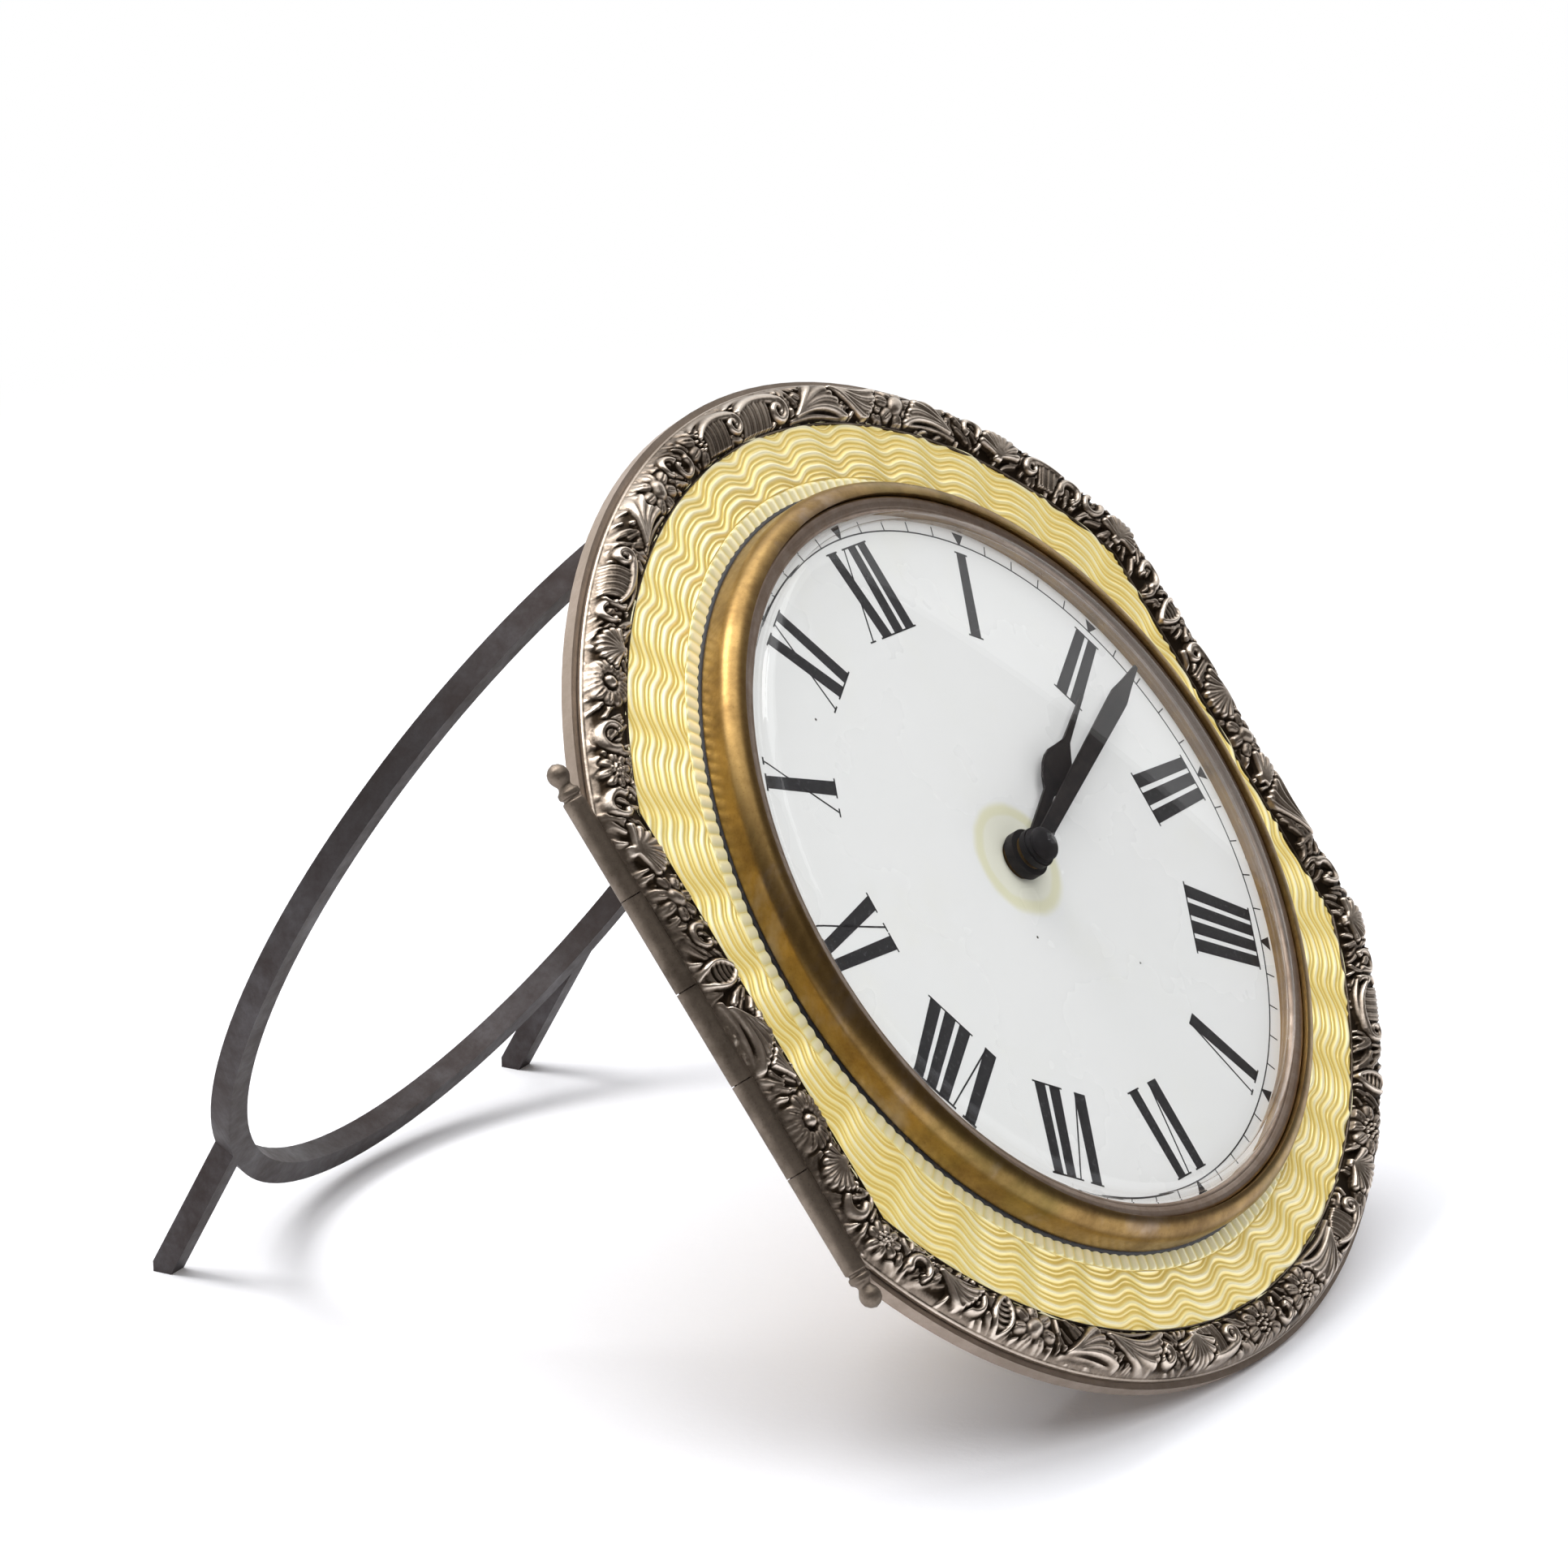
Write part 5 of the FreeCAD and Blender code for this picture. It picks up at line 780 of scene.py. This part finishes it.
def build_border():
    """The cast border: its inner edge, its ornament, its wall and its back, in one mesh."""
    along_arc, along_side, columns = 1250, 470, 64
    inner = window_edge(along_arc, along_side)
    outer = perimeter(mm("border_arc"), mm("border_offset"), mm("border_half"), along_arc, along_side)
    middle, way, rows = (inner + outer) / 2, outer - inner, len(inner)
    run = np.linalg.norm(np.roll(middle, -1, 0) - middle, axis=1).sum()
    bearings = np.degrees(np.arctan2(middle[:, 0], middle[:, 1])) % 360
    share = np.linspace(0, 1, columns)
    across = share * float(np.median(np.linalg.norm(way, axis=1))) * STRIP_SHARE
    height, blackening_and_shade = border_heights(rows, across, run, bearings)
    # Towards the outer edge the values are held up, so the strip there is mid-brown rather than black: the
    # painted shade and blackening are lighter there.
    blackening_and_shade = np.maximum(blackening_and_shade, 0.42 * np.clip((share - 0.8) / 0.15, 0, 1))
    dome = 0.34 * np.sin(math.pi * share) ** 0.7
    hold = np.clip(np.minimum(share / 0.05, (1 - share) / 0.12), 0, 1)
    fall = 0.62 * np.clip((share - 0.66) / 0.34, 0, 1) ** 2
    crown = height * mm("border_relief") * (0.35 + 0.65 * hold) - mm("border_field") + dome - fall
    place = inner[:, None, :] + way[:, None, :] * (0.06 + 0.89 * share)[None, :, None]

    def rings(levels):
        """Rings at shares of the way from the window to the rim, with their depths and darkness values."""
        spots = [np.column_stack([inner + way * level, np.full(rows, -depth)])
                 for level, depth, hollow in levels]
        return np.stack(spots, 1), np.repeat([[hollow for level, depth, hollow in levels]], rows, 0)

    enamel, back = mm("enamel_depth"), mm("border_back")
    # The lip's values are lowest at its foot against the enamel, a dark line there that is painted shade
    # between the border and the enamel. The wall and back take mid values.
    lip, lip_blackening_and_shade = rings((
        (-0.02, enamel + 0.15, 0.1), (0.0, enamel - 0.06, 0.3), (0.015, enamel - 0.16, 0.42),
        (0.035, enamel - 0.13, 0.2), (0.05, enamel - 0.03, 0.1)))
    wall, wall_blackening_and_shade = rings((
        (0.965, 2.34, 0.35), (0.985, 2.4, 0.6), (0.99, 2.45, 0.62), (1.0, 2.5, 0.7), (1.0, 2.55, 0.62),
        (1.0, back - 0.06, 0.5), (0.99, back, 0.3), (-0.02, back, 0.3)))
    points = np.concatenate([lip, np.concatenate([place, crown[..., None]], -1), wall], 1)
    piece = grid_piece("border_relief", points, finish_of("carved silver"), "door",
                       {"blackening_and_shade": np.concatenate([lip_blackening_and_shade, blackening_and_shade, wall_blackening_and_shade], 1)})
    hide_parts("border_frame")


# The hinge's finials and the hands' cap

# The radius at which a turned piece closes on its axis
POLE = 0.02
# Radius and place along the hinge, from the tube outwards
FINIAL = ((POLE, -0.3), (1.0, -0.3), (1.0, 0.45), (0.78, 0.6), (0.78, 0.75), (1.0, 0.9), (1.0, 1.35),
          (0.7, 1.6), (0.58, 1.9), (0.72, 2.15), (0.93, 2.55), (0.98, 2.95), (0.86, 3.4), (0.5, 3.78),
          (POLE, 3.95))
HINGE_AT, HINGE_ENDS = (-48.5, -3.0), (23.3, -22.1)


def build_finials():
    """The ball finials at the hinge's ends, over their collars."""
    turn = angles(96)
    radius, reach = np.array(softened(list(FINIAL), 0.12, closed=False)).T
    points, faces = [], []
    for number, (end, way) in enumerate(zip(HINGE_ENDS, (1, -1))):
        ring = np.stack(np.broadcast_arrays(HINGE_AT[0] + radius * np.cos(turn), end + way * reach,
                                            HINGE_AT[1] + radius * np.sin(turn)), -1)
        points.append(ring.reshape(-1, 3))
        faces.append(grid_faces(len(turn), len(radius), flip=way > 0) + number * len(points[0]))
    piece = make_piece("finials", np.concatenate(points), np.concatenate(faces), finish_of("dull silver"),
                       "case_back")
    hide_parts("hinge_finials")


def build_cap():
    """The round cap over the hands, on its collar."""
    radius, low, top, dome = 1.62, 2.6, 4.02, 0.72
    collar, neck = 1.75, 1.3
    profile = [(collar, low), (collar, low + 0.2), (neck, low + 0.28), (neck, low + 0.36)]
    profile += [(radius * math.cos(math.radians(t)), top - dome + dome * math.sin(math.radians(t)))
                for t in range(-20, 90, 8)]
    profile += [(POLE, top), (POLE, low)]
    cap = lathe("cap", profile, finish_of("hand steel"), "centre", steps=120)
    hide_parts("hand_cap")


# The enamel

# The thickness of the plate's back, and how far the panel goes under the border
PLATE_THICK, PANEL_TUCK = 0.15, 0.25


def swell(share):
    """A smooth rise and fall between none and one whole."""
    return 0.5 - 0.5 * np.cos(FULL_TURN * np.clip(share, 0, 1))


def enamel_sheet(name, turn, radius, level, ridge, finish):
    """A relief in enamel with its two edges brought down to the plate."""
    points = turned(turn, radius, level)
    points = np.concatenate([points[:, :1], points, points[:, -1:]], 1)
    points[:, (0, -1), 2] = PLATE_THICK - mm("panel_back")
    ridge = np.pad(ridge, ((0, 0), (1, 1)), mode="edge")
    return grid_piece(name, points, finish_of(finish), "door", {"ridge": ridge})


def build_enamel():
    """The enamelled panel: wavy engine turning, the plate's back, and the fluted ring round the bezel."""
    depth, inner, outer, low = mm("enamel_depth"), mm("flute_inner"), mm("flute_outer"), -mm("panel_back")
    around, rings = 1760, 150
    turn = angles(around)
    edge = window_edge(900, 500)
    spots = np.arctan2(edge[:, 0], edge[:, 1]) % FULL_TURN
    order = np.argsort(spots)
    reach = np.interp(turn, spots[order], np.linalg.norm(edge, axis=1)[order], period=FULL_TURN)
    reach += PANEL_TUCK
    radius = outer + (reach - outer) * np.linspace(0, 1, rings)
    phase = sizes().waves * turn
    sway = mm("wave_swing") * (np.cos(phase) - 0.22 * np.cos(2 * phase))
    line = ((radius - sway) / mm("wave_pitch")) % 1.0
    # The fan swings with the waves' phase: in the cut's depth it is relief, in the ridge values it is a
    # painted sheen where the slopes would catch the light.
    fan = 0.5 + 0.5 * np.sin(phase + 0.7)
    ridge = np.maximum(swell(line / 0.62), 0.62 * swell((line - 0.68) / 0.22)) * (0.72 + 0.28 * fan)
    fade = np.clip((radius - outer) / 0.12, 0, 1)
    level = mm("wave_cut") * ((ridge + 0.25 * fan) * fade - 0.5) - depth
    # The ridge values that colour the enamel carry the painted highlight of the ridges and the painted sheen
    # of the fan.
    waves = enamel_sheet("enamel_waves", turn, radius, level, (ridge + 0.1 * fan) * fade, "wave enamel")
    radius = np.where([True, False, False, True], reach, mm("bezel_bore"))
    height = np.array([low + PLATE_THICK, low + PLATE_THICK, low, low])
    plate = grid_piece("panel_back", turned(turn, radius, height), finish_of("dull silver"),
                       "door", smooth=False, flip=True)
    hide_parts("enamel_panel")
    count = sizes().flutes
    turn, share = angles(count * 10), np.linspace(0, 1, 22)
    flute = np.abs(np.sin(0.5 * count * turn))
    # Paler over each flute's ridge: partly the enamel's depth, partly painted highlight.
    ridge = flute ** 0.8 * np.sqrt(np.clip((1 - share) / 0.14 - 0.8 * (1 - flute), 0, 1))
    level = mm("flute_cut") * (ridge - 0.5) - depth
    radius = inner + (outer - inner) * share
    flutes = enamel_sheet("enamel_flutes", turn, radius, level, ridge, "flute enamel")
    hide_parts("enamel_panel")
    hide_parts("enamel_panel")


# Bezel, retaining ring and glass

def build_bezel():
    """The swelling brass bezel, the painted shade at its foot and the pinkish ring that holds the glass."""
    foot, crest, swelling = mm("bezel_foot"), mm("bezel_crest"), mm("bezel_round")
    bore, seat = mm("bezel_bore"), mm("ring_seat")
    under, step, base = 1.2, -0.8, -1.7
    profile = [(foot, base), (foot, -1.2), *arc(foot - swelling, crest - swelling, swelling, 0, 90, 26)]
    profile += [(seat + 0.06, crest), (seat + 0.06, under), (bore, under), (bore, step), (foot - 0.6, step),
                (foot - 0.6, base)]
    bezel = lathe("bezel_brass", softened(profile, 0.05), bezel_material(), "door", wobble=0.012)
    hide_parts("bezel")
    # A dark ring at the bezel's foot: painted shade in the gap between the bezel and the enamel.
    profile = [(foot + 0.34, -1.72), (foot + 0.26, -1.62), (foot + 0.06, -1.5), (foot - 0.1, -1.46),
               (foot - 0.1, -1.72)]
    lathe("foot_painted_shade", profile, finish_of("painted gap shade"), "door", wobble=0.05)
    low, high, inside = mm("ring_low"), mm("ring_high"), mm("ring_bore")
    profile = [(seat, low), *arc(seat - 0.34, high - 0.34, 0.34, 0, 90, 8)]
    profile += [(inside + 0.9, high - 0.02), (inside + 0.55, high - 0.12)]
    profile += [*arc(inside + 0.4, high - 0.55, 0.4, 80, 180, 8), (inside, low)]
    ring = lathe("glass_rim", softened(profile, 0.04), finish_of("retaining ring"), "door",
                 wobble=0.006)
    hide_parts("glass_ring")


def build_glass():
    """The domed glass, of one thickness all over."""
    crown, thick, shoulder = mm("glass_crown"), mm("glass_thick"), mm("glass_shoulder")
    wall, low, bulge = mm("glass_wall"), mm("ring_low") + 0.02, mm("glass_crown") - mm("glass_rise")
    turn, slope = mm("glass_turn"), math.atan(2 * bulge / shoulder)
    edge = wall - turn + turn * math.sin(slope)
    level = crown - bulge * (edge / shoulder) ** 2 - turn * math.cos(slope)
    last, steps = 90 - math.degrees(slope), 42
    sides = []
    for inset in (0.0, thick):
        side = [(wall - inset, low), *arc(wall - turn, level, turn - inset, 0, last, 12)]
        radii = np.linspace(edge - inset * math.sin(slope), POLE, steps)[1:]
        side += [(radius, crown - inset - bulge * (radius / shoulder) ** 2) for radius in radii]
        sides.append(side)
    outer, inner = sides
    glass = lathe("crystal", outer + inner[::-1], clear_glass(), "door", steps=360)
    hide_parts("glass")


# Dial figures

PAINT_FOOT = -0.01
NUMERALS = ("I", "II", "III", "IIII", "V", "VI", "VII", "VIII", "IX", "X", "XI", "XII")
# Stem, from stem to stem, hairline, and how far a serif reaches outwards and inwards
STEM, GAP, HAIR, SERIF, SERIF_IN = 1.26, 1.74, 0.17, 0.26, 0.55
# Width of V and X, their thick stroke, the space after stems and after them, and a serif's share of the height
BROAD, THICK, AFTER_STEMS, AFTER_BROAD, HAIR_SHARE = 3.1, STEM * 1.06, 0.62, 0.5, 0.018


def stroke(foot_left, foot_right, head_left, head_right, low=0.0, high=1.0):
    return [(foot_left, low), (foot_right, low), (head_right, high), (head_left, high)]


def bar(left, right, low=0.0, high=1.0):
    return stroke(left, right, left, right, low, high)


def letter_strokes(letters):
    """Four-cornered strokes of a numeral: millimetres across from its middle, and shares of its height."""
    runs, cursor = [], 0.0
    for kind, same in itertools.groupby(letters):
        count = len(list(same))
        wide = STEM + GAP * (count - 1) if kind == "I" else BROAD
        runs.append((kind, count, cursor, wide))
        cursor += wide + (AFTER_STEMS if kind == "I" else AFTER_BROAD)
    total = runs[-1][2] + runs[-1][3]
    head = 1 - HAIR_SHARE
    strokes = []
    for kind, count, start, wide in runs:
        left, right = start - total / 2, start - total / 2 + wide
        if kind == "I":
            strokes += [bar(left + GAP * k, left + GAP * k + STEM) for k in range(count)]
            strokes += [bar(left - SERIF, right + SERIF, low, low + HAIR_SHARE) for low in (0.0, head)]
            continue
        foot = 0.0 if kind == "X" else 0.5 * wide - 0.3
        strokes.append(stroke(right - THICK - foot, right - foot, left, left + THICK))
        if kind == "X":
            strokes += [stroke(left + 0.05, left + 0.05 + HAIR, right - 0.05 - HAIR, right - 0.05),
                        bar(right - THICK - SERIF, right + SERIF, 0.0, HAIR_SHARE),
                        bar(left - SERIF, left + SERIF_IN, 0.0, HAIR_SHARE)]
        else:
            tip = right - foot - 0.1
            strokes.append(stroke(tip - HAIR, tip, right - 0.05 - HAIR, right - 0.05))
        strokes += [bar(left - SERIF, left + THICK + SERIF, head), bar(right - SERIF_IN, right + SERIF, head)]
    return strokes


def round_dial(turn, pairs):
    """Places on the dial of pairs of a radius and a step aside, at an angle clockwise from the top."""
    return [(far * math.sin(turn) + aside * math.cos(turn), far * math.cos(turn) - aside * math.sin(turn))
            for far, aside in pairs]


def paint_piece(name, outlines):
    """Flat-topped slabs of paint over outlines on the dial."""
    points, faces = [], []
    for outline in outlines:
        first, count = len(points), len(outline)
        points += [(x, y, height) for height in (mm("paint"), PAINT_FOOT) for x, y in outline]
        turns = sum(before[0] * here[1] - here[0] * before[1]
                    for before, here in zip(outline[-1:] + outline[:-1], outline))
        order = list(range(first, first + count))[::1 if turns > 0 else -1]
        faces += [order, [count + k for k in order[::-1]]]
        for here, after in zip(order, order[1:] + order[:1]):
            faces.append([here, count + here, count + after, after])
    make_piece(name, points, faces, finish_of("figure black"), "door", smooth=False)


def build_figures():
    """The numerals, the minute circle with its ticks, and the hour marks."""
    feet, head, turned_by = mm("numeral_feet"), mm("numeral_head"), sizes().dial_turn
    outlines = []
    for hour, letters in enumerate(NUMERALS, 1):
        for corners in letter_strokes(letters):
            pairs = [(feet + (head - feet) * share, across * (1.08 - 0.15 * share))
                     for across, share in corners]
            outlines.append(round_dial(math.radians(30 * hour) + turned_by, pairs))
    paint_piece("numerals", outlines)
    outlines = []
    circle, end, half, mark_foot, mark_head = mm("track_radius"), mm("tick_end"), 0.06, 0.03, 0.72
    for minute in range(60):
        pairs = [(circle - 0.02, -half), (circle - 0.02, half), (end, half), (end, -half)]
        if minute % 5 == 0:
            pairs = [(circle - 0.1, -mark_foot), (circle - 0.1, mark_foot),
                     (end + 0.1, mark_head), (end + 0.1, -mark_head)]
        outlines.append(round_dial(math.radians(6 * minute) + turned_by, pairs))
    paint_piece("minute_marks", outlines)
    rim, hub, top = circle + 0.07, circle - 0.07, mm("paint") * 0.9
    lathe("minute_circle", [(rim, PAINT_FOOT), (rim, top), (hub, top), (hub, PAINT_FOOT)],
          finish_of("figure black"), "door")


# Stage

# The camera's directions, in the dial's own axes, and its place in millimetres
RIGHT_VIEW = (0.50545, -0.51498, 0.69233)
UP_VIEW = (0.28217, 0.85691, 0.43139)
ON_VIEW = (0.81541, 0.02270, -0.57844)
EYE = (-518.9, 2.7, 350.5)
# Places on the glass: where the edge of the darker side runs, and one inside it
GLARE_EDGE, GLARE_INSIDE = ((1.4, 24.0), (14.0, 8.0)), (-12.0, -16.0)
SHEET_REACH = 3.0


def turned_out(way):
    """A direction in the dial's own axes, in the world."""
    return Vector(way[0] * ACROSS + way[1] * UP + way[2] * OUT)


def unit(way):
    return way / np.linalg.norm(way)


def add_light(name, way, wide, power):
    """A square lamp that looks at the dial's middle from some way off."""
    data = bpy.data.lights.new(name, "AREA")
    data.shape, data.size, data.energy = "SQUARE", wide, power
    light = bpy.data.objects.new(name, data)
    light.location = Vector(CENTRE) + way
    light.rotation_mode = "QUATERNION"
    light.rotation_quaternion = (-way).to_track_quat("-Z", "Y")
    bpy.context.scene.collection.objects.link(light)
    return light


def add_flat(name, corners, material):
    """A four-cornered flat of the stage."""
    mesh = bpy.data.meshes.new(name)
    mesh.from_pydata([tuple(corner) for corner in corners], [], [(0, 1, 2, 3)])
    mesh.materials.append(material)
    flat = bpy.data.objects.new(name, mesh)
    bpy.context.scene.collection.objects.link(flat)
    return flat


def floor_material():
    """The sheet's own finish, which goes over to plain white away from the clock."""
    made = finish_of("sheet")
    net = Net(made.node_tree)
    shader, source = net.found("BsdfPrincipled"), net.found("Group")
    glow = net.node("Emission", {"Color": WHITE, "Strength": 1.0})
    both = net.node("MixShader", {0: source.outputs["Away"], 1: shader.outputs[0], 2: glow.outputs[0]})
    net.tree.links.new(both.outputs[0], net.found("OutputMaterial").inputs["Surface"])
    return made


def mirrored(spot):
    """Where the eye's ray meets the glass at a place across and up, and its way from there."""
    x, y = spot
    crown, bulge = mm("glass_crown"), (mm("glass_crown") - mm("glass_rise")) / mm("glass_shoulder") ** 2
    place = np.array([x, y, crown - bulge * (x ** 2 + y ** 2)])
    face = unit(np.array([2 * bulge * x, 2 * bulge * y, 1.0]))
    ray = unit(place - np.array(EYE))
    return place, ray - 2 * (ray @ face) * face


def add_cloth(name, spot, across, along):
    """A dark cloth that metal and glass see in place of the white surroundings."""
    corners = [spot - across - along, spot + across - along, spot + across + along, spot - across + along]
    cloth = add_flat(name, placed(corners), finish_of("cloth"))
    cloth.visible_camera = cloth.visible_diffuse = cloth.visible_shadow = False


def build_cloths():
    """The cloth whose edge shows across the glass, the one behind the camera and the one before the dial."""
    far, wide = 520.0, 900.0
    first, last, inside = (place + far * way for place, way in map(mirrored, (*GLARE_EDGE, GLARE_INSIDE)))
    along = unit(last - first)
    away = inside - first
    away = unit(away - (away @ along) * along)
    half = (np.linalg.norm(last - first) + wide) / 2
    add_cloth("side_cloth", (first + last) / 2 + away * wide / 2, along * half, away * wide / 2)
    back = np.array(EYE) - 250.0 * np.array(ON_VIEW)
    add_cloth("back_cloth", back, 1500.0 * np.array(RIGHT_VIEW), 800.0 * np.array(UP_VIEW))
    spot, half = np.array((-200.0, -200.0, 680.0)), 420.0
    add_cloth("front_cloth", spot, np.array((0.88, 0.0, 0.47)) * half, np.array((0.0, 0.97, 0.24)) * half)


def build_world():
    """Soft light all round that the camera, metal and glass see as white."""
    world = bpy.data.worlds.new("surroundings")
    world.use_nodes = True
    net = Net(world.node_tree)
    net.tree.nodes.clear()
    rays = net.node("LightPath").outputs
    seen = net.sums("MAXIMUM", rays["Is Glossy Ray"], rays["Is Transmission Ray"])
    seen = net.sums("MAXIMUM", rays["Is Camera Ray"], seen)
    plain = net.node("Background", {"Color": (0.92, 0.95, 1, 1), "Strength": 0.4})
    white = net.node("Background", {"Color": WHITE, "Strength": 1.0})
    both = net.node("MixShader", {0: seen, 1: plain.outputs[0], 2: white.outputs[0]})
    net.node("OutputWorld", {"Surface": both.outputs[0]})
    bpy.context.scene.world = world


def build_camera():
    """The camera at the photograph's place, from the dial's own axes."""
    data = bpy.data.cameras.new("camera")
    data.lens, data.sensor_width = 160.04, 36.0
    data.clip_start, data.clip_end = 0.01, 20.0
    data.shift_y = -0.0025
    camera = bpy.data.objects.new("camera", data)
    right, above, onward = (turned_out(way) for way in (RIGHT_VIEW, UP_VIEW, ON_VIEW))
    turn = Matrix((right, above, -onward)).transposed().to_4x4()
    camera.matrix_world = Matrix.Translation(Vector(placed(EYE))) @ turn
    bpy.context.scene.collection.objects.link(camera)
    bpy.context.scene.camera = camera


def build_stage():
    """The sheet, the lights, the cloths, the white surroundings and the camera."""
    reach = SHEET_REACH
    add_flat("sheet", [(-reach, -reach, 0), (reach, -reach, 0), (reach, reach, 0), (-reach, reach, 0)],
             floor_material())
    add_light("key", turned_out((-0.09, 0.77, 0.06)), 0.3, 3.2)
    add_light("top", Vector((0.1, 0.15, 0.8)), 0.8, 4.4)
    front = add_light("front", turned_out((-0.2, 0.25, 0.75)), 0.5, 2.9)
    front.visible_glossy = False
    build_cloths()
    build_world()
    build_camera()
    bpy.context.scene.view_settings.view_transform = "Standard"


# Operators

class CLOCK_OT_construction(bpy.types.Operator):
    """Give the frame, hinge, strut, hands and movement their finishes"""
    bl_idname = "clock.construction"
    bl_label = "Finish the construction"

    def execute(self, context):
        finish_construction()
        return {"FINISHED"}


class CLOCK_OT_border(bpy.types.Operator):
    """Build the cast border"""
    bl_idname = "clock.border"
    bl_label = "Build the border"

    def execute(self, context):
        build_border()
        return {"FINISHED"}


class CLOCK_OT_turnings(bpy.types.Operator):
    """Build the hinge's finials and the hands' cap"""
    bl_idname = "clock.turnings"
    bl_label = "Build the small turnings"

    def execute(self, context):
        build_finials()
        build_cap()
        return {"FINISHED"}


class CLOCK_OT_enamel(bpy.types.Operator):
    """Build the engine-turned enamel and its fluted ring"""
    bl_idname = "clock.enamel"
    bl_label = "Build the enamel"

    def execute(self, context):
        build_enamel()
        return {"FINISHED"}


class CLOCK_OT_bezel(bpy.types.Operator):
    """Build the bezel and the retaining ring"""
    bl_idname = "clock.bezel"
    bl_label = "Build the bezel"

    def execute(self, context):
        build_bezel()
        return {"FINISHED"}


class CLOCK_OT_glass(bpy.types.Operator):
    """Build the glass"""
    bl_idname = "clock.glass"
    bl_label = "Build the glass"

    def execute(self, context):
        build_glass()
        return {"FINISHED"}


class CLOCK_OT_figures(bpy.types.Operator):
    """Build the numerals and the minute track"""
    bl_idname = "clock.figures"
    bl_label = "Build the dial figures"

    def execute(self, context):
        build_figures()
        return {"FINISHED"}


class CLOCK_OT_stage(bpy.types.Operator):
    """Build the sheet, lights, surroundings and camera"""
    bl_idname = "clock.stage"
    bl_label = "Build the stage"

    def execute(self, context):
        build_stage()
        return {"FINISHED"}


class CLOCK_PT_panel(bpy.types.Panel):
    """Clock looks"""
    bl_idname = "CLOCK_PT_panel"
    bl_label = "Clock"
    bl_space_type = "VIEW_3D"
    bl_region_type = "UI"
    bl_category = "Clock"

    def draw(self, context):
        for operator in OPERATORS:
            self.layout.operator(operator.bl_idname)
        for group_name in ("clock_sizes", "clock_colours"):
            values = getattr(context.scene, group_name)
            box = self.layout.box()
            for name in values.__annotations__:
                box.prop(values, name)


OPERATORS = (CLOCK_OT_construction, CLOCK_OT_border, CLOCK_OT_turnings, CLOCK_OT_enamel, CLOCK_OT_bezel,
             CLOCK_OT_glass, CLOCK_OT_figures, CLOCK_OT_stage)
CLASSES = (ClockSizes, ClockColours, *OPERATORS, CLOCK_PT_panel)


def register():
    for item in CLASSES:
        bpy.utils.register_class(item)
    bpy.types.Scene.clock_sizes = bpy.props.PointerProperty(type=ClockSizes)
    bpy.types.Scene.clock_colours = bpy.props.PointerProperty(type=ClockColours)


def unregister():
    del bpy.types.Scene.clock_colours
    del bpy.types.Scene.clock_sizes
    for item in reversed(CLASSES):
        bpy.utils.unregister_class(item)


def main():
    register()
    bpy.ops.clock.construction()
    bpy.ops.clock.border()
    bpy.ops.clock.turnings()
    bpy.ops.clock.enamel()
    bpy.ops.clock.bezel()
    bpy.ops.clock.glass()
    bpy.ops.clock.figures()
    bpy.ops.clock.stage()


if __name__ == "__main__":
    main()
